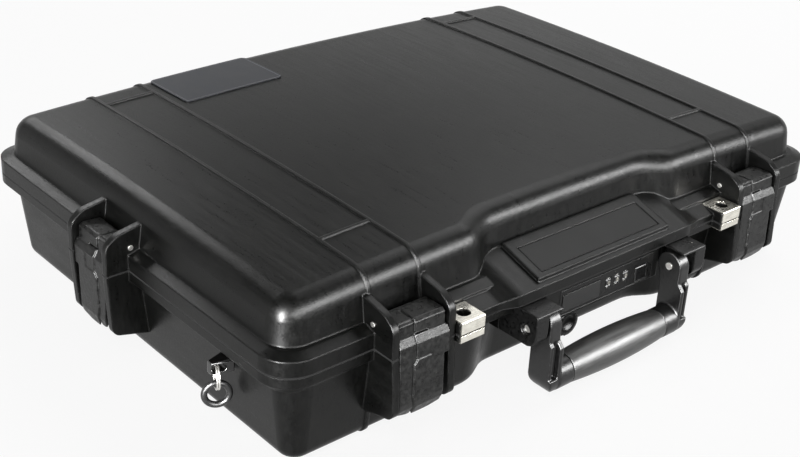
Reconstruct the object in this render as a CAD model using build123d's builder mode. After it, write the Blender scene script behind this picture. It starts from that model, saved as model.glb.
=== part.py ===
from build123d import *
from collections import namedtuple
from math import cos, pi, radians, sin, tan
import os

# Hard case for a laptop: two moulded half shells on a back hinge, four latches,
# a folding handle, a dial lock, padlock lugs, a pressure valve and strap rings.
# X runs across the front, Y to the back, Z up. The case lies on its base at z = 0.

# ---- shells ---------------------------------------------------------------
parting_z = 71.8          # height of the line where lid and base meet
rim_width = 527.0         # across the rim flange
rim_front = -176.0        # front edge of the rim flange
rim_depth = 366.0         # front to back across the rim flange
rim_corner = 23.0         # plan radius of the rim corners
wall = 3.2                # wall of both shells
through = 60.0            # cuts that go right through are made this long
spare = 1.0               # a cut runs past its piece by this

lid_rim_band = 11.2       # upright band of the lid's rim
lid_rim_rise = 2.5        # slope from the band up to the lid wall
lid_rim_lap = 1.6         # the slope ends this far inside the lid wall
lid_side_step = 6.3       # rim edge to lid wall at the parting line, sides and back
lid_front_step = 8.7      # the same at the front
lid_corner = 21.0         # plan radius of the lid wall at its foot
lid_draft = 8.0           # degrees
lid_height = 51.0         # parting line to the top of the dome
dome_radius = 4750.0      # crown of the lid
lid_edge_radius = 15.0    # rounding between lid wall and top

base_rim_band = 7.3       # upright band of the base's rim
base_rim_slope = 7.0      # slope from the band down to the base wall
base_side_step = 7.6      # rim edge to base wall at the parting line, sides and back
base_front_step = 2.8     # the same at the front
base_corner = 20.0
base_draft = 6.5          # degrees
base_edge_radius = 9.0    # rounding between base wall and floor
floor_thickness = 3.4
rib_stand = 1.2           # ribs stand this far off the skin
rib_width = 2.6
lid_rib_foot = 10.0       # the lid's ribs start this far above the parting line
base_rib_top = 55.0       # height where the base's ribs end
cross_rib_front = 63.4    # rim front to the front cross rib on the lid
cross_rib_back = 42.3     # rim back to the back one

wave_depth = 12.0         # the front wall is set back this far behind the handle
wave_outer = 98.0         # half width where the set-back starts
wave_inner = 77.0         # half width where it is full
wave_radius = 30.0

# ---- seal -----------------------------------------------------------------
groove_inset = 2.0        # rim edge to the seal groove
groove_width = 4.0
groove_depth = 5.0
tongue_width = 2.0
tongue_height = 1.9
seal_play = 0.1           # tongue to seal

# ---- hinge ----------------------------------------------------------------
hinge_reach = 20.0        # rim edge to hinge axis
hinge_radius = 8.0
hinge_pin_radius = 2.5
hinge_fin = ((-14.0, -20.0), (-3.0, -22.0))   # fin corners from the rim's back edge and the lid's top
barrel_root = 12.0        # the base barrels reach this far in from the rim's back edge
barrel_foot = 24.0        # and this far below the parting line
barrel_drop = 0.2         # their top lies below the parting line by this
barrel_gap = 0.4          # barrel to hinge fin
running_play = 0.06       # radial clearance of turning pins

# ---- latches --------------------------------------------------------------
latch_x = 168.7           # centre of a front latch and of a back hinge
side_latch_y = 17.0       # centre of a side latch
rib_offset = 20.5         # ribs from the latch centre
fin_thick = 5.2
fin_gap = 0.4             # fin to lever, each side
latch_width = 39.4        # front levers
side_latch_width = 38.4
side_tuck = 3.2           # the side levers lie closer to the case by this
front_swell = 2.3         # the front levers bulge outward at their lower end
side_swell = -0.6         # the side levers lean inward there
side_taper = 4.8          # their front edge is drawn in by this at its lower end
taper_top = 62.0          # and starts to lean at this height
front_reach = 17.4        # rim edge to the front of the fins at the parting line
side_reach = 16.4
fin_root = 16.0           # fins and catch bars end inside the shell's wall, behind its rim edge by this
lid_fin = ((-7.5, 99.6), (8.5, 102.8), (fin_root, 104.0))        # corners of a lid fin's top
lid_fin_front = 93.0      # top of its front edge
lid_fin_lean = 0.2        # which leans back by this
lid_fin_radii = (9.0, 12.0, 12.0)
front_fin = ((-19.7, 48.0), (-20.6, 30.0), (fin_root, 20.8))     # corners of a base fin's front and foot
side_fin = ((-15.0, 48.0), (-13.6, 26.5), (fin_root, 19.0))
base_fin_radii = (30.0, 7.0)
latch_pin_y = 2.0         # pin behind the rim's front edge
latch_pin_z = 88.4
latch_pin_radius = 1.8
pin_stand = 0.5           # pins stand this far out of the fins
latch_barrel = 4.3        # lever knuckle radius round the pin
lever_step = 4.2          # the lever's lower edge on one side is set in by this
lever_low = 25.2          # lowest point of the lever's curved end
lever_bow = 5.4           # the lever's end is this much higher at its corners
lever_skin = 0.8          # the narrower part of the lever's front lies this far back
lever_groove = 1.3        # width of the groove beside it
lever_groove_x = -6.3     # where the groove runs over the head
head_groove_length = 13.0
head_set_in = 1.7         # the lever's head is narrower by this on each side
head_foot = 82.2          # above this height
step_top = 64.0           # the set-in lower edge starts at this height
step_back = -7.0
cheek_thick = 3.2         # the lever's side cheeks, which carry the claw
thumb_slot = (-6.3, 4.4, 82.8, 84.2)          # left, right, low and high edge of the slot in the head
thumb_slot_depth = 1.8
lever_panel = (-5.6, 5.5, 66.5, 77.4)         # the same of the shallow panel
lever_panel_depth = 0.5
# A lever's outer line from its head to its lower lip, for a lever that isn't tucked in: y from the
# rim edge, z, and the share that each point takes of the lower end's swell.
lever_line = (
    (-12.4, 93.0, 0), (-14.9, 91.2, 0), (-15.6, 82.3, 0), (-16.4, 81.6, 0), (-18.6, 77.6, 0),
    (-18.6, 60.0, 0.5), (-18.6, 44.0, 0.8), (-18.6, 38.0, 1), (-18.4, 33.0, 0.7), (-16.0, lever_low, 0),
)
lever_back = (            # its inner line from the lower lip to the claw's cheeks, and the notch over them
    (-14.0, 31.0), (-14.9, 40.0), (-14.4, 60.0), (-13.6, 74.0), (-11.5, 79.0),
)
lever_notch = ((-0.9, 79.0), (-0.9, 84.6))
cheek_line = ((-14.0, 80.0), (-5.2, 80.0), (-5.2, 62.0), (-9.0, 60.0), (-14.0, 46.0))
lever_groove_line = (     # the groove down the lever's front: x and z
    (lever_groove_x, 100.0), (lever_groove_x, 66.5), (-8.8, 63.5), (-9.3, 40.0), (-7.3, 33.0), (-7.3, 20.0),
)
claw_pin_y = -9.0
claw_pin_z = 66.0
claw_pin_radius = 1.6
claw_pin_sink = 1.2       # the lever's bore for the claw's pin ends this far under its side
claw_pin_play = 0.2       # pin end to the bore's end
claw_boss = 3.2           # claw radius round its pin
claw_width = 24.0
claw_gap = 0.5            # claw tip to catch bar
claw_low = 44.6           # underside of the claw's tip
claw_bevel = 1.6
catch_y = -4.0            # front of the catch bar
catch_low = 50.0
catch_high = 57.0
catch_rise = 8.0          # slope from the catch bar up to the wall
catch_root = (2.0, 14.0)  # y of the slope's top edge and of the bar's end inside the wall

# ---- shelf, name panel and padlock lugs -----------------------------------
shelf_half = 83.0         # half width of the raised shelf
step_width = 20.0         # the shelf falls to the aprons over this width
step_parts = 4
shelf_run = 42.0          # front edge to the shelf's back, inside the lid wall
housing_run = 36.0
shelf_front = -193.5
shelf_edge_z = 80.4       # top of the shelf at its front edge
shelf_slope = 16.7        # degrees, rising to the lid wall
apron_half = 121.0        # half width over the lower aprons beside the shelf
apron_front = -188.5
apron_edge_z = 77.2
apron_low = 66.0
apron_gap = 0.2           # bracket to apron
housing_half = 66.0
housing_front = -189.4
housing_rise = 3.0        # housing above the shelf
panel_half = 59.6
panel_margin = 4.2        # panel edge to housing edge, front and back
panel_run = 33.4          # the housing's top along its slope
panel_gap = 0.5           # groove round the panel
panel_depth = 1.6
panel_sink = 0.2          # panel below the housing's top
panel_corner = 0.8
lug_x = 131.0
lug_width = 22.0
lug_front = -196.0
lug_top = 80.0
lug_low = 67.0
lug_root = 6.0            # the lugs reach this far back behind the rim's front edge
hole_set_back = 10.0      # lug front to the middle of the padlock hole
lug_hole = 5.1            # clearance hole in the plastic
plate_thick = 1.0
plate_bend = 0.8          # outer radius of the plates' bend
plate_hole = 4.75
plate_width = 20.0
plate_depth = 20.0
plate_split = 0.6         # each plate ends this far from the parting line

# ---- label plate ----------------------------------------------------------
label_x = -95.3
label_y = 141.6
label_width = 89.0
label_length = 54.8
label_thick = 0.9
label_corner = 5.0

# ---- lock -----------------------------------------------------------------
block_half = 58.6         # half width of the lock block on the base
block_front = -190.0
block_low = 46.0
seat_depth = 30.0         # how far the front blocks run back into the shell
lock_left = -43.5
lock_right = 52.5
lock_low = 47.6
lock_high = 67.0
lock_depth = 17.0
lock_fit = 0.15
dial_first = 5.5
dial_pitch = 8.9
dial_count = 3
dial_radius = 7.6
dial_width = 5.0
dial_z = 58.0
dial_proud = 0.6
dial_steps = 10
dial_notch = 0.55         # radius of the notches between the numbers
dial_edge = 0.4
well_play = 0.4           # dial to well
window_play = 0.3         # dial to the sides of its window
spindle_radius = 1.5
spindle_reach = 6.0       # the spindle passes the outer dials' middles by this
blank_left = -41.0
blank_right = -3.0
blank_low = 50.0
blank_high = 63.4
blank_seat = 1.0          # depth of its seat
blank_proud = 0.4         # it stands this far out of the housing
blank_gap = 0.3
button_left = 34.0
button_right = 46.5
button_low = 48.8
button_high = 60.2
button_depth = 9.0
button_travel = 3.0
button_proud = 0.6
button_edge = 0.8
slide_play = 0.2

# ---- valve ----------------------------------------------------------------
valve_x = -21.0
valve_z = 30.0
valve_radius = 10.5
valve_front = -181.0
valve_flange = 13.0
valve_flange_thick = 5.0
valve_gap = 1.4           # flange to the wall's surface at the valve's middle
valve_neck = 7.0          # radius of the neck between flange and knob
valve_neck_length = 6.0
valve_knob_gap = 12.0     # back of the knob to the wall's surface
valve_knob_edge = 1.5

# ---- handle ---------------------------------------------------------------
handle_pin_y = -200.0
handle_pin_z = 58.0
handle_pin_radius = 2.7
pin_sink = 2.0            # the pins' heads lie this deep in the brackets
pin_recess = 3.7
bracket_in = 62.0         # inner face of a bracket
bracket_out = 86.0
bracket_front = -210.0
bracket_top = 71.4
bracket_low = 46.7
bracket_radii = (1.5, 9.0)    # front edges of a bracket, top and bottom
bracket_fit = 0.05        # bracket to rim
bracket_pocket = 75.0     # outer side of the arm pocket
bracket_roof = 69.4
pocket_depth = 30.0
handle_shift = -1.3       # the handle hangs a little to the left in its brackets
arm_in = 60.7
arm_out = 71.0
arm_boss = 10.4
arm_back = -193.5
arm_front = -214.8
arm_neck = -210.6         # front of the arm beside the bracket's roof
arm_jog_top = 47.0        # the arm steps forward between these heights
arm_jog_low = 42.5
arm_toe = 1.0             # the arm's lowest point lies this far in front of the grip's axis
arm_under = 4.0           # and this far below the grip's core
arm_heel = 2.0            # corner of the arm's back below the core
arm_waist = 40.0          # height of the corner above it
arm_back_radii = (8.0, 12.0)
channel_low = 19.0        # ends of the arm's channels
channel_high = 47.0
arm_flange = 3.3          # thickness of the arm's two lengthwise flanges
arm_channel = 5.0         # depth of the channels between them
flange_set_back = 2.0     # the outer flange stands back by this
arm_low = 4.0             # underside of the bow
bow_radius = 14.0         # its outer corners
collar_radius = 11.2      # round collars between the arms and the grip
grip_y = -204.5
grip_z = 16.6
grip_half = 47.5
grip_gap = 0.3            # grip to collar
grip_mid_radius = 13.3
grip_end_radius = 11.0
core_radius = 8.0

# ---- strap posts and rings ------------------------------------------------
post_y = -109.5
post_z = 52.2
post_length = 15.0
post_root_width = 14.0
post_root_height = 10.2
post_tip_width = 5.2
post_tip_height = 9.0
post_root_corner = 3.0
post_tip_corner = 1.5
post_gap = 1.0            # root to the wall's surface at the post's middle
eye_length = 8.0          # slot through the post, along X
eye_height = 5.0
eye_set_back = 5.2        # post tip to the middle of the slot
eye_flare = 2.2           # the slot's flare along the link is wider than its height by this
eye_depth = 6.3           # half the length of the slot along the link
link_wire = 0.65
link_radius = 8.6
link_pitch = 1.4          # between the two turns of the link's wire
link_turn = 25.0          # degrees the link is turned on its post
ring_radius = 8.0
ring_wire = 2.1
hang_gap = 0.25           # between a hanging piece and what carries it

# ---- foam -----------------------------------------------------------------
base_foam_thick = 15.0
base_foam_corner = 12.0
lid_foam_low = 96.0
lid_foam_high = 108.0
lid_foam_inset = 14.0     # lid wall to foam at the parting line
lid_foam_front = 4.0      # more at the front
lid_foam_corner = 15.0
foam_gap = 2.0

os.makedirs("parts", exist_ok=True)

rim_half = rim_width / 2
rim_back = rim_front + rim_depth
rim_mid = rim_front + rim_depth / 2
hinge_y = rim_back + hinge_reach
lid_top = parting_z + lid_height
rib_xs = [side * (latch_x + off) for side in (-1, 1) for off in (-rib_offset, rib_offset)]
fin_offset = latch_width / 2 + fin_gap + fin_thick / 2
lug_hole_y = lug_front - plate_thick + hole_set_back

# A latch site: where it is, the side of the lever's set-in edge, the lever's width, how far it is
# tucked in, how much its lower end swells outward, how much its other edge is drawn in there, how
# far the fins reach, and the corners of the base fins.
Site = namedtuple("Site", "place hand width tuck swell taper reach fin")
front_kind = (latch_width, 0, front_swell, 0, front_reach, front_fin)
side_kind = (side_latch_width, side_tuck, side_swell, side_taper, side_reach, side_fin)
sites = {
    "front_left": Site(Location((-latch_x, rim_front, 0)), 1, *front_kind),
    "front_right": Site(Location((latch_x, rim_front, 0)), 1, *front_kind),
    "side_left": Site(Location((-rim_half, side_latch_y, 0), (0, 0, -90)), -1, *side_kind),
    "side_right": Site(Location((rim_half, side_latch_y, 0), (0, 0, 90)), 1, *side_kind),
}


def save(builder, name):
    """Label the finished piece and write its STEP file."""
    builder.part.label = name
    export_step(builder.part, f"parts/{name}.step")


def across(site, shift=0):
    """Plane square to the pin of a latch, moved along the pin by shift."""
    return Plane(site.place * Plane.YZ.offset(shift).location)


def facing(site):
    """Upright plane along the pin of a latch, whose sketches are seen from outside."""
    return Plane(site.place * Plane.XZ.location)


def fin_shifts(site):
    """Places of the two fins along the latch's pin."""
    off = site.width / 2 + fin_gap + fin_thick / 2
    return (-off, off)


def wavy_plan(half, front, back, corner):
    """Closed plan outline whose front is set back in the middle."""
    points = [
        (-half, back), (-half, front), (-wave_outer, front),
        (-wave_inner, front + wave_depth), (wave_inner, front + wave_depth),
        (wave_outer, front), (half, front), (half, back),
    ]
    radii = [corner, corner] + [wave_radius] * 4 + [corner, corner]
    with BuildSketch() as plan:
        with BuildLine():
            FilletPolyline(*points, radius=radii, close=True)
        make_face()
    return plan.sketch


def rim_plan(inset):
    """Rim outline drawn in by inset."""
    with BuildSketch() as plan:
        with Locations((0, rim_mid)):
            RectangleRounded(rim_width - 2 * inset, rim_depth - 2 * inset, rim_corner - inset)
    return plan.sketch


def lid_block(grow, edge_radius):
    """Domed block of the lid's outer form, grown outward by grow."""
    with BuildPart() as block:
        with BuildSketch(Plane.XY.offset(parting_z)):
            add(wavy_plan(rim_half - lid_side_step + grow, rim_front + lid_front_step - grow,
                          rim_back - lid_side_step + grow, lid_corner + grow))
        extrude(amount=lid_height + lid_rim_band, taper=lid_draft)
        with Locations((0, rim_mid, lid_top + grow - (dome_radius + grow))):
            Sphere(dome_radius + grow, rotation=(90, 0, 0), mode=Mode.INTERSECT)
        crown = block.faces().filter_by(GeomType.SPHERE)
        fillet(crown.edges(), radius=edge_radius)
    return block.part


def base_block(grow, floor_z, edge_radius):
    """Tapered tray form of the base, grown outward by grow, from floor_z to the parting line."""
    drop = (parting_z - floor_z) * tan(radians(base_draft))
    with BuildPart() as block:
        with BuildSketch(Plane.XY.offset(floor_z)):
            add(wavy_plan(rim_half - base_side_step + grow - drop,
                          rim_front + base_front_step - grow + drop,
                          rim_back - base_side_step + grow - drop, base_corner + grow - drop))
        extrude(amount=parting_z - floor_z, taper=-base_draft)
        fillet(block.faces().sort_by(Axis.Z)[0].edges(), radius=edge_radius)
    return block.part


# ---------------------------------------------------------------- lid shell
lid_outer = lid_block(0, lid_edge_radius)
lid_inner = lid_block(-wall, lid_edge_radius - wall)
lid_skin = lid_block(rib_stand, lid_edge_radius + rib_stand)

with BuildPart() as lid_ribs:
    for x in rib_xs:
        with Locations((x, rim_mid, parting_z + lid_rib_foot + through / 2)):
            Box(rib_width, rim_depth + through, through)
    for side in (-1, 1):
        for y in (rim_front + cross_rib_front, rim_back - cross_rib_back):
            with Locations((side * latch_x, y, lid_top)):
                Box(2 * rib_offset, rib_width, through / 2)
    add(lid_skin, mode=Mode.INTERSECT)

slope = tan(radians(shelf_slope))
with BuildPart() as lid:
    # rim flange: upright band, then a slope up to the wall
    with BuildSketch(Plane.XY.offset(parting_z)):
        add(rim_plan(0))
    extrude(amount=lid_rim_band)
    with BuildSketch(Plane.XY.offset(parting_z + lid_rim_band)):
        add(rim_plan(0))
    with BuildSketch(Plane.XY.offset(parting_z + lid_rim_band + lid_rim_rise)):
        add(rim_plan(lid_side_step + lid_rim_lap))
    loft()
    # raised shelf, its smooth step down to the aprons beside the lugs, and the housing on it
    with BuildSketch(Plane.YZ):
        with BuildLine():
            Polyline((shelf_front, parting_z), (shelf_front, shelf_edge_z),
                     (shelf_front + shelf_run, shelf_edge_z + shelf_run * slope),
                     (shelf_front + shelf_run, parting_z), close=True)
        make_face()
    extrude(amount=shelf_half, both=True)
    for side in (-1, 1):
        for i in range(step_parts + 1):
            share = (1 - cos(pi * i / step_parts)) / 2
            front = shelf_front + share * (apron_front - shelf_front)
            edge_z = shelf_edge_z + share * (apron_edge_z - shelf_edge_z)
            with BuildSketch(Plane.YZ.offset(side * (shelf_half + i / step_parts * step_width))):
                with BuildLine():
                    Polyline((front, parting_z), (front, edge_z),
                             (front + shelf_run, edge_z + shelf_run * slope),
                             (front + shelf_run, parting_z), close=True)
                make_face()
        loft()
        with BuildSketch(Plane.YZ.offset(side * (shelf_half + step_width))):
            with BuildLine():
                Polyline((apron_front, parting_z), (apron_front, apron_edge_z),
                         (apron_front + shelf_run, apron_edge_z + shelf_run * slope),
                         (apron_front + shelf_run, parting_z), close=True)
            make_face()
        extrude(amount=side * (apron_half - shelf_half - step_width))
    with BuildSketch(Plane.YZ):
        with BuildLine():
            housing_z = shelf_edge_z + (housing_front - shelf_front) * slope + housing_rise
            Polyline((housing_front, parting_z), (housing_front, housing_z),
                     (housing_front + housing_run, housing_z + housing_run * slope),
                     (housing_front + housing_run, parting_z), close=True)
        make_face()
    extrude(amount=housing_half, both=True)
    # padlock lugs
    for side in (-1, 1):
        with Locations((side * lug_x, (lug_front + rim_front + lug_root) / 2, (parting_z + lug_top) / 2)):
            Box(lug_width, rim_front + lug_root - lug_front, lug_top - parting_z)
    add(lid_outer)
    add(lid_ribs.part)
    # latch fins
    for site in sites.values():
        for off in fin_shifts(site):
            with BuildSketch(across(site, off)):
                with BuildLine():
                    fin = FilletPolyline((-site.reach, parting_z), (lid_fin_lean - site.reach, lid_fin_front),
                                         *lid_fin, radius=lid_fin_radii)
                    Polyline(fin @ 1, (fin_root, parting_z), fin @ 0)
                make_face()
            extrude(amount=fin_thick / 2, both=True)
    # hinge fins with their knuckles
    for side in (-1, 1):
        for off in (-fin_offset, fin_offset):
            with BuildSketch(Plane.YZ.offset(side * latch_x + off)):
                with BuildLine():
                    Polyline((rim_back + hinge_fin[0][0], parting_z),
                             *[(rim_back + y, lid_top + z) for y, z in hinge_fin],
                             (hinge_y, parting_z + hinge_radius), (hinge_y, parting_z), close=True)
                make_face()
                with Locations((hinge_y, parting_z)):
                    Circle(hinge_radius)
            extrude(amount=fin_thick / 2, both=True)
    # hollow inside
    add(lid_inner, mode=Mode.SUBTRACT)
    # seal groove
    with BuildSketch(Plane.XY.offset(parting_z)):
        add(rim_plan(groove_inset))
        add(rim_plan(groove_inset + groove_width), mode=Mode.SUBTRACT)
    extrude(amount=groove_depth, mode=Mode.SUBTRACT)
    # pin holes, padlock holes and the panel's seat
    for site in sites.values():
        with BuildSketch(across(site)):
            with Locations((latch_pin_y, latch_pin_z)):
                Circle(latch_pin_radius)
        extrude(amount=fin_shifts(site)[1] + fin_thick, both=True, mode=Mode.SUBTRACT)
    for side in (-1, 1):
        with BuildSketch(Plane.YZ.offset(side * latch_x)):
            with Locations((hinge_y, parting_z)):
                Circle(hinge_pin_radius + running_play)
        extrude(amount=fin_offset + fin_thick, both=True, mode=Mode.SUBTRACT)
        with BuildSketch(Plane.XY.offset(parting_z)):
            with Locations((side * lug_x, lug_hole_y)):
                Circle(lug_hole)
        extrude(amount=through / 2, mode=Mode.SUBTRACT)
    panel_plane = Plane(origin=(0, housing_front, housing_z), x_dir=(1, 0, 0),
                        z_dir=(0, -sin(radians(shelf_slope)), cos(radians(shelf_slope))))
    panel_length = panel_run - 2 * panel_margin
    panel_centre = panel_margin + panel_length / 2
    with BuildSketch(panel_plane):
        with Locations((0, panel_centre)):
            Rectangle(2 * panel_half, panel_length)
    extrude(amount=-panel_depth, mode=Mode.SUBTRACT)
save(lid, "lid_shell")

with BuildPart() as panel:
    with BuildSketch(panel_plane.offset(-panel_depth)):
        with Locations((0, panel_centre)):
            RectangleRounded(2 * (panel_half - panel_gap), panel_length - 2 * panel_gap, panel_corner)
    extrude(amount=panel_depth - panel_sink)
save(panel, "lid_name_panel")

with BuildPart() as label:
    with BuildSketch(Plane.XY.offset(lid_top)):
        with Locations((label_x, label_y)):
            RectangleRounded(label_width, label_length, label_corner)
    extrude(amount=through, both=True)
    with Locations((0, rim_mid, lid_top - dome_radius)):
        Sphere(dome_radius + label_thick, rotation=(90, 0, 0), mode=Mode.INTERSECT)
        Sphere(dome_radius, rotation=(90, 0, 0), mode=Mode.SUBTRACT)
save(label, "lid_label_plate")

with BuildPart() as seal:
    with BuildSketch(Plane.XY.offset(parting_z + tongue_height + seal_play)):
        add(rim_plan(groove_inset))
        add(rim_plan(groove_inset + groove_width), mode=Mode.SUBTRACT)
    extrude(amount=groove_depth - tongue_height - seal_play)
save(seal, "lid_seal")

with BuildPart() as lid_foam:
    with BuildSketch(Plane.XY.offset(lid_foam_low)):
        inset = lid_side_step + wall + lid_foam_inset
        add(wavy_plan(rim_half - inset, rim_front + inset + lid_foam_front, rim_back - inset,
                      lid_foam_corner))
    extrude(amount=lid_foam_high - lid_foam_low)
save(lid_foam, "lid_foam")

with BuildPart() as latch_pins:
    for site in sites.values():
        with BuildSketch(across(site)):
            with Locations((latch_pin_y, latch_pin_z)):
                Circle(latch_pin_radius)
        extrude(amount=fin_shifts(site)[1] + fin_thick / 2 + pin_stand, both=True)
save(latch_pins, "latch_pins")

plate_y = lug_front - plate_thick + plate_depth / 2
for side, hand in ((-1, "left"), (1, "right")):
    with BuildPart() as lid_plate:
        with Locations((side * lug_x, plate_y, lug_top + plate_thick / 2)):
            Box(plate_width, plate_depth, plate_thick)
        with Locations((side * lug_x, lug_front - plate_thick / 2, (parting_z + plate_split + lug_top) / 2)):
            Box(plate_width, plate_thick, lug_top - parting_z - plate_split)
        with Locations((side * lug_x, lug_hole_y, lug_top)):
            Cylinder(plate_hole, through / 2, mode=Mode.SUBTRACT)
        bend = lid_plate.edges().filter_by(Axis.X).group_by(Axis.Y)[0].sort_by(Axis.Z)[-1]
        fillet(bend, radius=plate_bend)
    save(lid_plate, f"padlock_plate_lid_{hand}")
    with BuildPart() as base_plate:
        with Locations((side * lug_x, plate_y, lug_low - plate_thick / 2)):
            Box(plate_width, plate_depth, plate_thick)
        with Locations((side * lug_x, lug_front - plate_thick / 2, (parting_z - plate_split + lug_low) / 2)):
            Box(plate_width, plate_thick, parting_z - plate_split - lug_low)
        with Locations((side * lug_x, lug_hole_y, lug_low)):
            Cylinder(plate_hole, through / 2, mode=Mode.SUBTRACT)
        bend = base_plate.edges().filter_by(Axis.X).group_by(Axis.Y)[0].sort_by(Axis.Z)[0]
        fillet(bend, radius=plate_bend)
    save(base_plate, f"padlock_plate_base_{hand}")

# ---------------------------------------------------------------- base shell
base_outer = base_block(0, rib_stand, base_edge_radius)
base_inner = base_block(-wall, rib_stand + floor_thickness, base_edge_radius - wall)
base_skin = base_block(rib_stand, 0, base_edge_radius + rib_stand)

with BuildPart() as base_ribs:
    for x in rib_xs:
        with Locations((x, rim_mid, base_rib_top - through / 2)):
            Box(rib_width, rim_depth + through, through)
    add(base_skin, mode=Mode.INTERSECT)

with BuildPart() as base:
    # rim flange: upright band and a slope down to the wall
    band_low = parting_z - base_rim_band
    with BuildSketch(Plane.XY.offset(band_low)):
        add(rim_plan(0))
    extrude(amount=base_rim_band)
    with BuildSketch(Plane.XY.offset(band_low - base_rim_slope)):
        add(rim_plan(base_rim_slope))
    with BuildSketch(Plane.XY.offset(band_low)):
        add(rim_plan(0))
    loft()
    # lock block, the seat of the handle brackets, the apron beside them and the padlock lugs
    for half, front, low in ((block_half, block_front, block_low), (bracket_out, rim_front, bracket_low)):
        with Locations((0, (front + rim_front + seat_depth) / 2, (low + parting_z) / 2)):
            Box(2 * half, rim_front + seat_depth - front, parting_z - low)
    apron_in = bracket_out + apron_gap
    for side in (-1, 1):
        with Locations((side * (apron_in + apron_half) / 2, (apron_front + rim_front + seat_depth) / 2,
                        (apron_low + parting_z) / 2)):
            Box(apron_half - apron_in, rim_front + seat_depth - apron_front, parting_z - apron_low)
        with Locations((side * lug_x, (lug_front + rim_front + lug_root) / 2, (lug_low + parting_z) / 2)):
            Box(lug_width, rim_front + lug_root - lug_front, parting_z - lug_low)
    add(base_outer)
    add(base_ribs.part)
    # latch fins and catch bars
    for site in sites.values():
        for off in fin_shifts(site):
            with BuildSketch(across(site, off)):
                with BuildLine():
                    fin = FilletPolyline((-site.reach, parting_z), *site.fin, radius=base_fin_radii)
                    Polyline(fin @ 1, (fin_root, parting_z), fin @ 0)
                make_face()
            extrude(amount=fin_thick / 2, both=True)
        with BuildSketch(across(site)):
            with BuildLine():
                slope_y, root_y = catch_root
                Polyline((catch_y + site.tuck, catch_low), (catch_y + site.tuck, catch_high),
                         (slope_y + site.tuck, catch_high + catch_rise), (root_y, catch_high + catch_rise),
                         (root_y, catch_low), close=True)
            make_face()
        extrude(amount=fin_shifts(site)[1], both=True)
    # hinge barrels
    for side in (-1, 1):
        with BuildSketch(Plane.YZ.offset(side * latch_x)):
            with BuildLine():
                Polyline((rim_back - barrel_root, parting_z - barrel_drop),
                         (hinge_y, parting_z - barrel_drop), (hinge_y, parting_z - hinge_radius),
                         (rim_back - barrel_root, parting_z - barrel_foot), close=True)
            make_face()
            with Locations((hinge_y, parting_z)):
                Circle(hinge_radius)
        extrude(amount=fin_offset - fin_thick / 2 - barrel_gap, both=True)
    # hollow inside
    add(base_inner, mode=Mode.SUBTRACT)
    # seal tongue
    with BuildSketch(Plane.XY.offset(parting_z)):
        tongue_inset = groove_inset + (groove_width - tongue_width) / 2
        add(rim_plan(tongue_inset))
        add(rim_plan(tongue_inset + tongue_width), mode=Mode.SUBTRACT)
    extrude(amount=tongue_height)
    # lock pocket, padlock holes and hinge bores
    with Locations(((lock_left + lock_right) / 2, block_front + lock_depth / 2, (lock_low + lock_high) / 2)):
        Box(lock_right - lock_left, lock_depth, lock_high - lock_low, mode=Mode.SUBTRACT)
    for side in (-1, 1):
        with BuildSketch(Plane.XY.offset(lug_low - spare)):
            with Locations((side * lug_x, lug_hole_y)):
                Circle(lug_hole)
        extrude(amount=parting_z, mode=Mode.SUBTRACT)
        with BuildSketch(Plane.YZ.offset(side * latch_x)):
            with Locations((hinge_y, parting_z)):
                Circle(hinge_pin_radius)
        extrude(amount=fin_offset, both=True, mode=Mode.SUBTRACT)
save(base, "base_shell")

with BuildPart() as base_foam:
    floor_z = rib_stand + floor_thickness
    inset = (parting_z - floor_z) * tan(radians(base_draft)) + base_edge_radius + foam_gap
    with BuildSketch(Plane.XY.offset(floor_z)):
        add(wavy_plan(rim_half - base_side_step - inset, rim_front + base_front_step + inset,
                      rim_back - base_side_step - inset, base_foam_corner))
    extrude(amount=base_foam_thick)
save(base_foam, "base_foam")

with BuildPart() as hinge_pins:
    for side in (-1, 1):
        with BuildSketch(Plane.YZ.offset(side * latch_x)):
            with Locations((hinge_y, parting_z)):
                Circle(hinge_pin_radius)
        extrude(amount=fin_offset + fin_thick / 2 + pin_stand, both=True)
save(hinge_pins, "hinge_pins")

# ---------------------------------------------------------------- latches
def lever_front(site, depth=0):
    """Outer line of a lever from its head down to its lower lip, moved inward by depth."""
    line = [(y - share * site.swell + site.tuck + depth, z) for y, z, share in lever_line]
    return [(line[0][0], line[0][1] - depth), *line[1:]]


def groove_line(site, shift):
    """Stepped line down the lever's front, moved sideways by shift."""
    return [(site.hand * (x + shift), z) for x, z in lever_groove_line]


def box_outline(site, left, right, low, high):
    """Corners of an upright rectangle on a lever, seen from outside."""
    left, right = site.hand * left, site.hand * right
    return [(left, low), (right, low), (right, high), (left, high)]


def front_band(site, depth, outline):
    """What lies within depth of the lever's front, inside an outline seen from outside."""
    with BuildPart() as band:
        with BuildSketch(across(site)):
            with BuildLine():
                Polyline(*lever_front(site, -spare), *reversed(lever_front(site, depth)), close=True)
            make_face()
        extrude(amount=site.width, both=True)
        with BuildSketch(facing(site)):
            with BuildLine():
                Polyline(*outline, close=True)
            make_face()
        extrude(amount=through, both=True, mode=Mode.INTERSECT)
    return band.part


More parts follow.
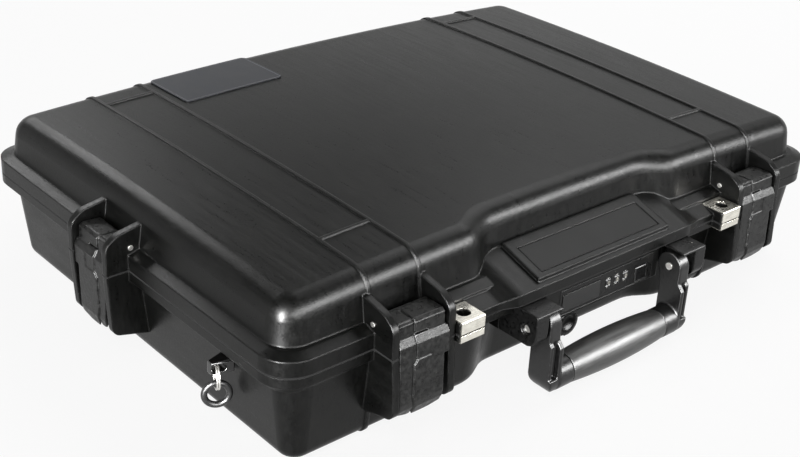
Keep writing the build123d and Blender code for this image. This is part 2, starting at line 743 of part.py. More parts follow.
for name, site in sites.items():
    half = site.width / 2
    tuck = site.tuck
    with BuildPart() as lever:
        with BuildSketch(across(site)):
            with BuildLine():
                Polyline((latch_pin_y, latch_pin_z + latch_barrel), *lever_front(site),
                         *[(y + tuck, z) for y, z in lever_back], *lever_notch,
                         (latch_pin_y, latch_pin_z - latch_barrel), close=True)
            make_face()
            with Locations((latch_pin_y, latch_pin_z)):
                Circle(latch_barrel)
        extrude(amount=half, both=True)
        # side cheeks that carry the claw
        for off in (-1, 1):
            with BuildSketch(across(site, off * (half - cheek_thick / 2))):
                with BuildLine():
                    Polyline(*[(y + tuck, z) for y, z in cheek_line], close=True)
                make_face()
            extrude(amount=cheek_thick / 2, both=True)
        # narrower head, set-in lower edge and curved end
        for off in (-1, 1):
            with Locations(site.place * Location((off * half, latch_pin_y, head_foot + through / 2))):
                Box(2 * head_set_in, through, through, mode=Mode.SUBTRACT)
        with Locations(site.place * Location((site.hand * half, step_back + tuck - through / 2,
                                              step_top - through / 2))):
            Box(2 * lever_step, through, through, mode=Mode.SUBTRACT)
        with BuildSketch(facing(site)):
            with BuildLine():
                end = ThreePointArc((-half - spare, lever_low + lever_bow), (0, lever_low),
                                    (half + spare, lever_low + lever_bow))
                Polyline(end @ 1, (half + spare, 0), (-half - spare, 0), end @ 0)
            make_face()
        extrude(amount=through, both=True, mode=Mode.SUBTRACT)
        # the other edge drawn in toward its lower end
        if site.taper:
            with BuildSketch(facing(site)):
                with BuildLine():
                    Polyline((-site.hand * half, taper_top), (-site.hand * (half - site.taper), lever_low),
                             (-site.hand * (half + spare), lever_low), close=True)
                make_face()
            extrude(amount=through, both=True, mode=Mode.SUBTRACT)
        # front: lower strip, groove, shallow panel and thumb slot
        side = -site.hand * (half + spare)
        groove = groove_line(site, 0)
        add(front_band(site, lever_skin, [*groove, (side, groove[-1][1]), (side, groove[0][1])]),
            mode=Mode.SUBTRACT)
        add(front_band(site, 2 * lever_skin, [*groove_line(site, -lever_groove / 2),
                                              *reversed(groove_line(site, lever_groove / 2))]),
            mode=Mode.SUBTRACT)
        with Locations(site.place * Location((site.hand * lever_groove_x, tuck - head_groove_length / 2,
                                              latch_pin_z + latch_barrel))):
            Box(lever_groove, head_groove_length, 2 * lever_skin, mode=Mode.SUBTRACT)
        add(front_band(site, lever_panel_depth, box_outline(site, *lever_panel)), mode=Mode.SUBTRACT)
        add(front_band(site, thumb_slot_depth, box_outline(site, *thumb_slot)), mode=Mode.SUBTRACT)
        # pin bores
        with BuildSketch(across(site)):
            with Locations((latch_pin_y, latch_pin_z)):
                Circle(latch_pin_radius + running_play)
        extrude(amount=half, both=True, mode=Mode.SUBTRACT)
        with BuildSketch(across(site)):
            with Locations((claw_pin_y + tuck, claw_pin_z)):
                Circle(claw_pin_radius + running_play)
        extrude(amount=half - claw_pin_sink, both=True, mode=Mode.SUBTRACT)
    save(lever, f"latch_lever_{name}")

    tip = catch_y - claw_gap
    claw_line = [
        (claw_pin_y - claw_boss, claw_pin_z), (claw_pin_y - 0.8 * claw_boss, claw_low + claw_boss),
        (claw_pin_y - 1, claw_low), (tip - claw_bevel, claw_low), (tip, claw_low + claw_bevel),
        (tip, catch_low + claw_boss), (claw_pin_y + 0.8 * claw_boss, catch_low + 1.6 * claw_boss),
        (claw_pin_y + claw_boss, claw_pin_z),
    ]
    with BuildPart() as claw:
        with BuildSketch(across(site)):
            with BuildLine():
                Polyline(*[(y + tuck, z) for y, z in claw_line], close=True)
            make_face()
            with Locations((claw_pin_y + tuck, claw_pin_z)):
                Circle(claw_boss)
        extrude(amount=claw_width / 2, both=True)
        with BuildSketch(across(site)):
            with Locations((claw_pin_y + tuck, claw_pin_z)):
                Circle(claw_pin_radius)
        extrude(amount=half - claw_pin_sink - claw_pin_play, both=True)
    save(claw, f"latch_claw_{name}")

# ---------------------------------------------------------------- handle
for side, hand in ((-1, "left"), (1, "right")):
    mid = side * (bracket_in + bracket_out) / 2
    with BuildPart() as bracket:
        with BuildSketch(Plane.YZ.offset(mid)):
            with BuildLine():
                foot = rim_front - bracket_fit
                shape = FilletPolyline((foot, bracket_top), (bracket_front, bracket_top),
                                       (bracket_front, bracket_low), (foot, bracket_low),
                                       radius=bracket_radii)
                Line(shape @ 1, shape @ 0)
            make_face()
        extrude(amount=(bracket_out - bracket_in) / 2, both=True)
        with Locations((side * (bracket_in + bracket_pocket) / 2, bracket_front + pocket_depth - through / 2,
                        bracket_roof - through / 2)):
            Box(bracket_pocket - bracket_in, through, through, mode=Mode.SUBTRACT)
        with BuildSketch(Plane.YZ.offset(mid)):
            with Locations((handle_pin_y, handle_pin_z)):
                Circle(handle_pin_radius)
        extrude(amount=through, both=True, mode=Mode.SUBTRACT)
        with BuildSketch(Plane.YZ.offset(side * (bracket_out - pin_sink))):
            with Locations((handle_pin_y, handle_pin_z)):
                Circle(pin_recess)
        extrude(amount=side * through, mode=Mode.SUBTRACT)
    save(bracket, f"handle_bracket_{hand}")

with BuildPart() as handle_pins:
    for side in (-1, 1):
        inner = handle_shift + side * (arm_in - pin_stand)
        with BuildSketch(Plane.YZ.offset(inner)):
            with Locations((handle_pin_y, handle_pin_z)):
                Circle(handle_pin_radius)
        extrude(amount=side * (bracket_out - pin_sink) - inner)
save(handle_pins, "handle_pins")

with BuildPart() as handle_frame:
    # bow seen from the front
    arm_top = handle_pin_z + arm_boss + spare
    with BuildSketch(Plane.XZ.offset(-grip_y)):
        with BuildLine():
            bow = FilletPolyline((-arm_out, arm_top), (-arm_out, arm_low), (arm_out, arm_low),
                                 (arm_out, arm_top), radius=bow_radius)
            Line(bow @ 1, bow @ 0)
        make_face()
        with Locations((0, arm_top / 2)):
            Rectangle(2 * arm_in, 2 * arm_top, mode=Mode.SUBTRACT)
    extrude(amount=through, both=True)
    # arms seen from the side
    with BuildSketch(Plane.YZ):
        with Locations((handle_pin_y, handle_pin_z)):
            Circle(arm_boss)
        with BuildLine():
            front = Polyline((handle_pin_y - arm_boss, handle_pin_z), (arm_neck, arm_jog_top),
                             (arm_front, arm_jog_low), (arm_front, grip_z))
            core_low = grip_z - core_radius
            under = TangentArc(front @ 1, (grip_y - arm_toe, core_low - arm_under), tangent=(0, -1))
            back = FilletPolyline(under @ 1, (arm_back, core_low - arm_heel), (arm_back, arm_waist),
                                  (handle_pin_y + arm_boss, handle_pin_z), radius=arm_back_radii)
            Line(back @ 1, front @ 0)
        make_face()
    extrude(amount=arm_out, both=True, mode=Mode.INTERSECT)
    # lengthwise channels in the front and back of each arm, and the outer flange set back
    for side in (-1, 1):
        web = arm_out - arm_in - 2 * arm_flange
        channel_z, channel_length = (channel_low + channel_high) / 2, channel_high - channel_low
        for y in (arm_front, arm_back):
            with Locations((side * (arm_in + arm_out) / 2, y, channel_z)):
                Box(web, 2 * arm_channel, channel_length, mode=Mode.SUBTRACT)
        with Locations((side * (arm_out - arm_flange / 2), arm_front, channel_z)):
            Box(arm_flange, 2 * flange_set_back, channel_length, mode=Mode.SUBTRACT)
    # collars beside the grip, and the core inside it
    for reach, radius in ((arm_in + spare, collar_radius), (grip_half + grip_gap + spare, core_radius)):
        with BuildSketch(Plane.YZ):
            with Locations((grip_y, grip_z)):
                Circle(radius)
        extrude(amount=reach, both=True)
        if radius == collar_radius:
            with Locations((0, grip_y, grip_z)):
                Box(2 * (grip_half + grip_gap), 4 * radius, 4 * radius, mode=Mode.SUBTRACT)
    with BuildSketch(Plane.YZ):
        with Locations((handle_pin_y, handle_pin_z)):
            Circle(handle_pin_radius + running_play)
    extrude(amount=arm_out, both=True, mode=Mode.SUBTRACT)
handle_frame.part.position = (handle_shift, 0, 0)
save(handle_frame, "handle_frame")

with BuildPart() as grip:
    with BuildSketch(Plane.XY.offset(grip_z)):
        with BuildLine():
            belly = ThreePointArc((-grip_half, grip_y - grip_end_radius), (0, grip_y - grip_mid_radius),
                                  (grip_half, grip_y - grip_end_radius))
            Polyline(belly @ 1, (grip_half, grip_y - core_radius),
                     (-grip_half, grip_y - core_radius), belly @ 0)
        make_face()
    revolve(axis=Axis((0, grip_y, grip_z), (1, 0, 0)))
grip.part.position = (handle_shift, 0, 0)
save(grip, "handle_grip")

# ---------------------------------------------------------------- lock
dial_xs = [dial_first + i * dial_pitch for i in range(dial_count)]
dial_y = block_front - dial_proud + dial_radius
with BuildPart() as lock:
    with Locations(((lock_left + lock_right) / 2, block_front + (lock_depth - lock_fit) / 2,
                    (lock_low + lock_high) / 2)):
        Box(lock_right - lock_left - 2 * lock_fit, lock_depth - lock_fit, lock_high - lock_low - 2 * lock_fit)
    # dial wells with narrow windows
    for x in dial_xs:
        with Locations((x, dial_y, dial_z)):
            Cylinder(dial_radius + well_play, dial_width + 2 * window_play, rotation=(0, 90, 0),
                     mode=Mode.SUBTRACT)
    # button well
    with Locations(((button_left + button_right) / 2, block_front + (button_depth + button_travel) / 2,
                    (button_low + button_high) / 2)):
        Box(button_right - button_left + 2 * slide_play, button_depth + button_travel + spare,
            button_high - button_low + 2 * slide_play, mode=Mode.SUBTRACT)
    # seat of the blank plate
    with Locations(((blank_left + blank_right) / 2, block_front + blank_seat / 2,
                    (blank_low + blank_high) / 2)):
        Box(blank_right - blank_left, blank_seat, blank_high - blank_low, mode=Mode.SUBTRACT)
    with Locations(((dial_xs[0] + dial_xs[-1]) / 2, dial_y, dial_z)):
        Cylinder(spindle_radius, dial_xs[-1] - dial_xs[0] + 2 * spindle_reach, rotation=(0, 90, 0),
                 mode=Mode.SUBTRACT)
save(lock, "lock_housing")

with BuildPart() as blank:
    with Locations(((blank_left + blank_right) / 2, block_front + (blank_seat - blank_proud) / 2,
                    (blank_low + blank_high) / 2)):
        Box(blank_right - blank_left - 2 * blank_gap, blank_seat + blank_proud,
            blank_high - blank_low - 2 * blank_gap)
save(blank, "lock_blank_plate")

with BuildPart() as spindle:
    with Locations(((dial_xs[0] + dial_xs[-1]) / 2, dial_y, dial_z)):
        Cylinder(spindle_radius, dial_xs[-1] - dial_xs[0] + 2 * spindle_reach, rotation=(0, 90, 0))
save(spindle, "lock_spindle")

for i, x in enumerate(dial_xs, 1):
    with BuildPart() as dial:
        with Locations((x, dial_y, dial_z)):
            Cylinder(dial_radius, dial_width, rotation=(0, 90, 0))
        chamfer(dial.edges().filter_by(GeomType.CIRCLE), length=dial_edge)
        for k in range(dial_steps):
            turn = 2 * pi * (k + 0.5) / dial_steps
            with Locations((x, dial_y + dial_radius * cos(turn), dial_z + dial_radius * sin(turn))):
                Cylinder(dial_notch, dial_width, rotation=(0, 90, 0), mode=Mode.SUBTRACT)
        with Locations((x, dial_y, dial_z)):
            Cylinder(spindle_radius + running_play, dial_width, rotation=(0, 90, 0), mode=Mode.SUBTRACT)
    save(dial, f"lock_dial_{i}")

with BuildPart() as button:
    with Locations(((button_left + button_right) / 2, block_front - button_proud + button_depth / 2,
                    (button_low + button_high) / 2)):
        Box(button_right - button_left, button_depth, button_high - button_low)
    fillet(button.faces().sort_by(Axis.Y)[0].edges(), radius=button_edge)
save(button, "lock_button")

# ---------------------------------------------------------------- valve
valve_wall = rim_front + base_front_step + wave_depth + (parting_z - valve_z) * tan(radians(base_draft))
with BuildPart() as valve:
    with BuildSketch(Plane.XZ.offset(-(valve_wall - valve_gap))):
        with Locations((valve_x, valve_z)):
            Circle(valve_flange)
    extrude(amount=valve_flange_thick)
    with BuildSketch(Plane.XZ.offset(-(valve_wall - valve_knob_gap + valve_neck_length))):
        with Locations((valve_x, valve_z)):
            Circle(valve_neck)
    extrude(amount=valve_neck_length)
save(valve, "valve_body")

with BuildPart() as knob:
    with BuildSketch(Plane.XZ.offset(-valve_front)):
        with Locations((valve_x, valve_z)):
            Circle(valve_radius)
    extrude(amount=-(valve_wall - valve_knob_gap - valve_front))
    fillet(knob.edges().filter_by(GeomType.CIRCLE).sort_by(Axis.Y)[0], radius=valve_knob_edge)
save(knob, "valve_knob")

# ---------------------------------------------------------------- strap posts and rings
post_wall = rim_half - base_side_step - (parting_z - post_z) * tan(radians(base_draft))
eye_x = post_wall + post_length - eye_set_back
link_sag = link_radius - (link_radius ** 2 - eye_depth ** 2) ** 0.5
link_top = post_z - eye_height / 2 + link_sag + link_wire + hang_gap
link_low = link_top - 2 * link_radius
ring_top = link_low + link_wire + ring_wire + hang_gap
for side, hand in ((-1, "left"), (1, "right")):
    # the link's plane is upright and turned on the post, and the ring hangs square to it
    along = (side * sin(radians(link_turn)), -cos(radians(link_turn)), 0)
    out = (side * cos(radians(link_turn)), sin(radians(link_turn)), 0)
    foot = Plane(origin=(side * (post_wall + post_gap), post_y, post_z), x_dir=(0, side, 0),
                 z_dir=(side, 0, 0))
    with BuildPart() as post:
        with BuildSketch(foot):
            RectangleRounded(post_root_width, post_root_height, post_root_corner)
        with BuildSketch(foot.offset(post_length - post_gap)):
            RectangleRounded(post_tip_width, post_tip_height, post_tip_corner)
        loft()
        with BuildSketch(Plane.XZ.offset(-post_y)):
            with Locations((side * eye_x, post_z)):
                SlotOverall(eye_length, eye_height)
        extrude(amount=post_root_width, both=True, mode=Mode.SUBTRACT)
        # the eye flares to both sides along the turned link
        with BuildSketch(Plane(origin=(side * eye_x, post_y, post_z), x_dir=out, z_dir=along)):
            SlotOverall(eye_height + eye_flare, eye_height)
        extrude(amount=post_root_width, both=True, mode=Mode.SUBTRACT)
    save(post, f"strap_post_{hand}")

    with BuildPart() as link:
        for shift in (-link_pitch / 2, link_pitch / 2):
            middle = (side * eye_x + shift * out[0], post_y + shift * out[1], link_top - link_radius)
            add(Plane(origin=middle, x_dir=along, z_dir=out) * Torus(link_radius, link_wire,
                                                                     mode=Mode.PRIVATE))
    save(link, f"strap_link_{hand}")

    with BuildPart() as ring:
        middle = (side * eye_x, post_y, ring_top - ring_radius)
        add(Plane(origin=middle, x_dir=out, z_dir=along) * Torus(ring_radius, ring_wire, mode=Mode.PRIVATE))
    save(ring, f"strap_ring_{hand}")
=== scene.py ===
"""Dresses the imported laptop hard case: its finishes, its fine pieces, the floor, the lamps and the camera."""

import logging
import math
from dataclasses import dataclass
from enum import Enum

import bmesh
import bpy
from mathutils import Euler, Matrix, Vector


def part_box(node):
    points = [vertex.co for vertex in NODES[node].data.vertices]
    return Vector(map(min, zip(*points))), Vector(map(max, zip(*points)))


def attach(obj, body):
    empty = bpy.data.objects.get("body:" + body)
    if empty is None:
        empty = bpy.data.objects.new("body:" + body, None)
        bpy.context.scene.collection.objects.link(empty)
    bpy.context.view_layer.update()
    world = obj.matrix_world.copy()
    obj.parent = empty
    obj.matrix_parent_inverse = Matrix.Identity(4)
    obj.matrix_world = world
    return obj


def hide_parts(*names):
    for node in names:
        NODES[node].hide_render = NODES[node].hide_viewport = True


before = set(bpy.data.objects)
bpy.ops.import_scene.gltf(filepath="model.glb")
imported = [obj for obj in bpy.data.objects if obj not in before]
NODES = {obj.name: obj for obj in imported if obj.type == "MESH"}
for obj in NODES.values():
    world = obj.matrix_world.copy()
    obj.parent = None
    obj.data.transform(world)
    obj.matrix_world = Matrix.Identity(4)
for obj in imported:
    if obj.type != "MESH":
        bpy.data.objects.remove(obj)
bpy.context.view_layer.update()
MM = 0.001
Colour = tuple[float, float, float]
Triple = tuple[float, float, float]
# black painted into a surface as the shade inside a groove or gap
PAINTED_GROOVE_SHADE: Colour = (0.0008, 0.0008, 0.0008)
log = logging.getLogger("hard_case")


class Hand(Enum):
    """The left or right one of a pair, seen from the handle side."""

    LEFT = "left"
    RIGHT = "right"


class LatchSite(Enum):
    """Where a latch sits on the case."""

    FRONT_LEFT = "front_left"
    FRONT_RIGHT = "front_right"
    SIDE_LEFT = "side_left"
    SIDE_RIGHT = "side_right"


# ------------------------------------------------------------------ finishes
class Bench:
    """The node tree of one material, built up around a principled shader."""

    bevel_samples = 6
    edge_start, edge_end = 0.86, 0.995

    def __init__(self, name: str, specular: float = 0.5, coat: float = 0.0, coat_roughness: float = 0.1,
                 metallic: float = 0.0, sheen: float = 0.0) -> None:
        """Starts the material with its even values set on the shader itself.

        Args:
            name: the material's name.
            specular: the shader's specular level.
            coat: weight of the clear coat.
            coat_roughness: roughness of that coat.
            metallic: 1 for bare metal.
            sheen: weight of the soft sheen.
        """
        self.material = bpy.data.materials.new(name)
        self.material.use_nodes = True
        self.nodes = self.material.node_tree.nodes
        self.links = self.material.node_tree.links
        self.nodes.clear()
        self.output = self.nodes.new("ShaderNodeOutputMaterial")
        self.shader = self.nodes.new("ShaderNodeBsdfPrincipled")
        self.links.new(self.shader.outputs["BSDF"], self.output.inputs["Surface"])
        self.shader.inputs["Specular IOR Level"].default_value = specular
        self.shader.inputs["Coat Weight"].default_value = coat
        self.shader.inputs["Coat Roughness"].default_value = coat_roughness
        self.shader.inputs["Metallic"].default_value = metallic
        self.shader.inputs["Sheen Weight"].default_value = sheen
        self.place = self.nodes.new("ShaderNodeTexCoord").outputs["Object"]

    def feed(self, node: bpy.types.Node, **values: object) -> bpy.types.Node:
        """Sets or links a node's inputs.

        Args:
            node: the node.
            values: input names with spaces written as underscores, and a value or a socket for each.

        Returns:
            The same node.
        """
        for key, value in values.items():
            socket = node.inputs[key.replace("_", " ")]
            if isinstance(value, bpy.types.NodeSocket):
                self.links.new(value, socket)
            else:
                socket.default_value = value
        return node

    def moved(self, turn: Triple = (0, 0, 0), stretch: Triple = (1, 1, 1)) -> bpy.types.NodeSocket:
        """Object coordinates turned and stretched.

        Args:
            turn: angles about X, Y and Z in degrees.
            stretch: factors along the turned axes.

        Returns:
            The vector's socket.
        """
        mapping = self.nodes.new("ShaderNodeMapping")
        angles = tuple(math.radians(a) for a in turn)
        self.feed(mapping, Vector=self.place, Rotation=angles, Scale=stretch)
        return mapping.outputs["Vector"]

    def grain(self, size: float, detail: float = 2.0, roughness: float = 0.5,
              place: bpy.types.NodeSocket | None = None) -> bpy.types.NodeSocket:
        """Even noise from 0 to 1.

        Args:
            size: width of one blotch in metres.
            detail: octaves.
            roughness: strength of the finer octaves.
            place: coordinates, or the object's own.

        Returns:
            The noise's socket.
        """
        noise = self.nodes.new("ShaderNodeTexNoise")
        self.feed(noise, Vector=place or self.place, Scale=1 / size, Detail=detail, Roughness=roughness)
        return noise.outputs["Fac"]

    def cells(self, size: float) -> bpy.types.NodeSocket:
        """Distance to the nearest of scattered points, for foam cells.

        Args:
            size: width of one cell in metres.

        Returns:
            The distance's socket.
        """
        voronoi = self.nodes.new("ShaderNodeTexVoronoi")
        voronoi.feature = "SMOOTH_F1"
        self.feed(voronoi, Vector=self.place, Scale=1 / size)
        return voronoi.outputs["Distance"]

    def spread(self, value: bpy.types.NodeSocket, low: float, high: float, start: float = 0.0,
               end: float = 1.0) -> bpy.types.NodeSocket:
        """Maps a value from start..end to low..high.

        Args:
            value: the socket to map.
            low: result at start.
            high: result at end.
            start: lower end of the value.
            end: upper end of the value.

        Returns:
            The mapped socket.
        """
        node = self.nodes.new("ShaderNodeMapRange")
        self.feed(node, Value=value, From_Min=start, From_Max=end, To_Min=low, To_Max=high)
        return node.outputs["Result"]

    def blend_colours(self, share: bpy.types.NodeSocket, first: Colour | bpy.types.NodeSocket,
                      second: Colour | bpy.types.NodeSocket) -> bpy.types.NodeSocket:
        """Mixes two colours by a share.

        Args:
            share: 0 gives the first and 1 the second.
            first: a linear colour, or the socket of one.
            second: a linear colour, or the socket of one.

        Returns:
            The colour's socket.
        """
        node = self.nodes.new("ShaderNodeMix")
        node.data_type = "RGBA"
        self.links.new(share, node.inputs[0])
        for socket, colour in ((node.inputs[6], first), (node.inputs[7], second)):
            if isinstance(colour, bpy.types.NodeSocket):
                self.links.new(colour, socket)
            else:
                socket.default_value = (*colour, 1)
        return node.outputs[2]

    def math(self, kind: str, first: object, second: object) -> bpy.types.NodeSocket:
        """Combines two numbers.

        Args:
            kind: Blender's name of the operation.
            first: a value or socket.
            second: a value or socket.

        Returns:
            The result's socket.
        """
        node = self.nodes.new("ShaderNodeMath")
        node.operation = kind
        for socket, value in zip(node.inputs, (first, second)):
            if isinstance(value, bpy.types.NodeSocket):
                self.links.new(value, socket)
            else:
                socket.default_value = value
        return node.outputs[0]

    def mean(self, first: bpy.types.NodeSocket, second: bpy.types.NodeSocket,
             share: float = 0.5) -> bpy.types.NodeSocket:
        """Weighted mean of two numbers.

        Args:
            first: the first socket.
            second: the second socket.
            share: weight of the first.

        Returns:
            The mean's socket.
        """
        return self.math("ADD", self.math("MULTIPLY", first, share), self.math("MULTIPLY", second, 1 - share))

    def soft_edges(self, radius: float) -> bpy.types.NodeSocket:
        """Normals that run round the edges.

        Args:
            radius: how far from an edge they start to turn, in metres.

        Returns:
            The normal's socket.
        """
        node = self.nodes.new("ShaderNodeBevel")
        node.samples = self.bevel_samples
        self.feed(node, Radius=radius)
        return node.outputs["Normal"]

    def height_band(self, height: float, half: float) -> bpy.types.NodeSocket:
        """Share of a level band round the case, 1 at its middle.

        Args:
            height: the band's middle, in metres above the floor at rest.
            half: half its width.

        Returns:
            The share's socket.
        """
        split = self.nodes.new("ShaderNodeSeparateXYZ")
        self.links.new(self.place, split.inputs[0])
        off = self.math("ABSOLUTE", self.math("SUBTRACT", split.outputs["Z"], height), 0.0)
        return self.spread(off, 1.0, 0.0, 0.5 * half, half)

    def frame_line(self, low: Vector, high: Vector, inset: float, half: float) -> bpy.types.NodeSocket:
        """Share of a thin line that runs round a flat plate, inside its edge.

        Args:
            low: the plate's lowest corner.
            high: its highest corner.
            inset: the line's middle, from the plate's edge.
            half: half the line's width.

        Returns:
            The share's socket.
        """
        split = self.nodes.new("ShaderNodeSeparateXYZ")
        self.links.new(self.place, split.inputs[0])
        reach = []
        for axis, a, b in (("X", low.x, high.x), ("Y", low.y, high.y)):
            off = self.math("ABSOLUTE", self.math("SUBTRACT", split.outputs[axis], (a + b) / 2), 0.0)
            reach.append(self.math("SUBTRACT", off, (b - a) / 2 - inset))
        off = self.math("ABSOLUTE", self.math("MAXIMUM", *reach), 0.0)
        return self.spread(off, 1.0, 0.0, 0.6 * half, half)

    def edge_share(self, rounded: bpy.types.NodeSocket) -> bpy.types.NodeSocket:
        """How much a point lies on an edge.

        Args:
            rounded: the normals of soft_edges.

        Returns:
            The share's socket.
        """
        geometry = self.nodes.new("ShaderNodeNewGeometry")
        dot = self.nodes.new("ShaderNodeVectorMath")
        dot.operation = "DOT_PRODUCT"
        self.links.new(rounded, dot.inputs[0])
        self.links.new(geometry.outputs["Normal"], dot.inputs[1])
        return self.spread(dot.outputs["Value"], 1.0, 0.0, self.edge_start, self.edge_end)

    def bumps(self, height: bpy.types.NodeSocket, depth: float, strength: float = 1.0,
              normal: bpy.types.NodeSocket | None = None) -> bpy.types.NodeSocket:
        """Normals pushed by a height.

        Args:
            height: 0 to 1.
            depth: what 1 stands for, in metres.
            strength: share of the effect.
            normal: normals to start from.

        Returns:
            The normal's socket.
        """
        node = self.nodes.new("ShaderNodeBump")
        self.feed(node, Height=height, Distance=depth, Strength=strength)
        if normal is not None:
            self.links.new(normal, node.inputs["Normal"])
        return node.outputs["Normal"]

    def finish(self, colour: bpy.types.NodeSocket, roughness: bpy.types.NodeSocket,
               normal: bpy.types.NodeSocket) -> bpy.types.Material:
        """Joins colour, roughness and normals to the shader.

        Args:
            colour: the base colour.
            roughness: the roughness.
            normal: the normals.

        Returns:
            The finished material.
        """
        self.feed(self.shader, Base_Color=colour, Roughness=roughness, Normal=normal)
        return self.material


@dataclass(frozen=True)
class PebbledShell:
    """Moulded shell plastic: fine pebbles, faint rubbed streaks, lighter worn edges and a line of painted gap
    shade at the parting.
    """

    dark: Colour = (0.0022, 0.0024, 0.0020)
    light: Colour = (0.0062, 0.0066, 0.0056)
    worn: Colour = (0.012, 0.0125, 0.0115)
    specular: float = 0.14
    pebble: float = 1.3 * MM
    pebble_depth: float = 0.09 * MM
    pebble_strength: float = 0.55
    blotch: float = 26 * MM
    streak: float = 3 * MM
    streak_turn: Triple = (0, 0, 38)
    streak_stretch: Triple = (1, 0.06, 0.3)
    streak_depth: float = 0.08 * MM
    streak_strength: float = 0.35
    edge: float = 1.7 * MM
    # middle and half width of the band of painted shade at the parting, where lid meets base
    parting_z: float = 71.8 * MM
    parting_half: float = 0.75 * MM
    rough_low: float = 0.27
    rough_high: float = 0.42

    def make(self) -> bpy.types.Material:
        """Builds the material.

        Returns:
            The shell's material.
        """
        bench = Bench("shell_pebbled", specular=self.specular)
        fine = bench.grain(self.pebble, 3, 0.55)
        blotches = bench.grain(self.blotch, 3, 0.6)
        streaks = bench.grain(self.streak, 4, 0.6, bench.moved(self.streak_turn, self.streak_stretch))
        patchy = bench.mean(blotches, streaks)
        colour = bench.blend_colours(bench.spread(patchy, 0, 1, 0.38, 0.64), self.dark, self.light)
        rounded = bench.soft_edges(self.edge)
        wear = bench.math("MULTIPLY", bench.edge_share(rounded), bench.spread(fine, 0.1, 0.7, 0.3, 0.7))
        colour = bench.blend_colours(wear, colour, self.worn)
        # painted shade: a black band round the case at the parting height stands in for the shadow in the gap
        # between lid and base; it is rougher there too
        parting_gap_shade = bench.height_band(self.parting_z, self.parting_half)
        colour = bench.blend_colours(parting_gap_shade, colour, PAINTED_GROOVE_SHADE)
        mixed = bench.mean(fine, streaks)
        rough = bench.math("ADD", bench.spread(mixed, self.rough_low, self.rough_high, 0.36, 0.64), parting_gap_shade)
        normal = bench.bumps(fine, self.pebble_depth, self.pebble_strength, rounded)
        normal = bench.bumps(streaks, self.streak_depth, self.streak_strength, normal)
        return bench.finish(colour, rough, normal)


@dataclass(frozen=True)
class MouldedHardware:
    """Hard black plastic of latches, handle, brackets and lock, mottled or smooth."""

    name: str
    dark: Colour
    light: Colour
    rough_low: float
    rough_high: float
    mottle: float = 2.2 * MM
    mottle_depth: float = 0.10 * MM
    mottle_over_fine: float = 4
    fine_depth_share: float = 1 / 3
    edge: float = 0.5 * MM
    worn_over_light: float = 3.0
    coat: float = 0.0
    coat_roughness: float = 0.18
    specular: float = 0.3

    def make(self) -> bpy.types.Material:
        """Builds the material.

        Returns:
            The hardware's material.
        """
        bench = Bench(self.name, specular=self.specular, coat=self.coat, coat_roughness=self.coat_roughness)
        mottle = bench.grain(self.mottle, 4, 0.65)
        fine = bench.grain(self.mottle / self.mottle_over_fine, 2, 0.5)
        rounded = bench.soft_edges(self.edge)
        colour = bench.blend_colours(bench.spread(mottle, 0, 1, 0.36, 0.66), self.dark, self.light)
        wear = bench.math("MULTIPLY", bench.edge_share(rounded), bench.spread(mottle, 0.0, 0.55, 0.4, 0.7))
        worn = tuple(self.worn_over_light * c for c in self.light)
        colour = bench.blend_colours(wear, colour, worn)
        rough = bench.spread(mottle, self.rough_low, self.rough_high, 0.35, 0.65)
        normal = bench.bumps(mottle, self.mottle_depth, 0.8, rounded)
        normal = bench.bumps(fine, self.mottle_depth * self.fine_depth_share, 0.5, normal)
        return bench.finish(colour, rough, normal)


@dataclass(frozen=True)
class BareMetal:
    """Steel with fine drawn lines, from matt pins to the polished plates."""

    name: str
    colour: Colour
    shade: Colour
    rough_low: float
    rough_high: float
    line: float = 0.5 * MM
    line_stretch: Triple = (0.05, 1, 1)
    line_depth: float = 0.02 * MM
    line_share: float = 0.6
    smear: float = 6 * MM
    edge: float = 0.3 * MM

    def make(self) -> bpy.types.Material:
        """Builds the material.

        Returns:
            The metal's material.
        """
        bench = Bench(self.name, metallic=1.0)
        lines = bench.grain(self.line, 3, 0.6, bench.moved(stretch=self.line_stretch))
        smears = bench.grain(self.smear, 3, 0.6)
        colour = bench.blend_colours(bench.spread(smears, 0, 1, 0.35, 0.65), self.colour, self.shade)
        mixed = bench.mean(lines, smears, self.line_share)
        rough = bench.spread(mixed, self.rough_low, self.rough_high, 0.35, 0.65)
        normal = bench.bumps(lines, self.line_depth, 0.4, bench.soft_edges(self.edge))
        return bench.finish(colour, rough, normal)


@dataclass(frozen=True)
class GripRubber:
    """Soft grey rubber of the grip, rubbed smooth in streaks along its length."""

    dark: Colour = (0.034, 0.034, 0.033)
    light: Colour = (0.056, 0.056, 0.054)
    streak: float = 0.9 * MM
    streak_stretch: Triple = (0.04, 1, 1)
    streak_depth: float = 0.05 * MM
    streak_share: float = 0.6
    smear: float = 12 * MM
    fine: float = 0.5 * MM
    fine_depth: float = 0.03 * MM
    edge: float = 0.5 * MM

    def make(self) -> bpy.types.Material:
        """Builds the material.

        Returns:
            The rubber's material.
        """
        bench = Bench("grip_rubber", specular=0.5)
        fine = bench.grain(self.fine, 3, 0.6)
        streaks = bench.grain(self.streak, 3, 0.6, bench.moved(stretch=self.streak_stretch))
        smears = bench.grain(self.smear, 2, 0.5)
        mixed = bench.mean(streaks, smears, self.streak_share)
        colour = bench.blend_colours(bench.spread(mixed, 0, 1, 0.4, 0.6), self.dark, self.light)
        rough = bench.spread(mixed, 0.34, 0.46, 0.38, 0.62)
        normal = bench.bumps(streaks, self.streak_depth, 0.5, bench.soft_edges(self.edge))
        return bench.finish(colour, rough, bench.bumps(fine, self.fine_depth, 0.4, normal))


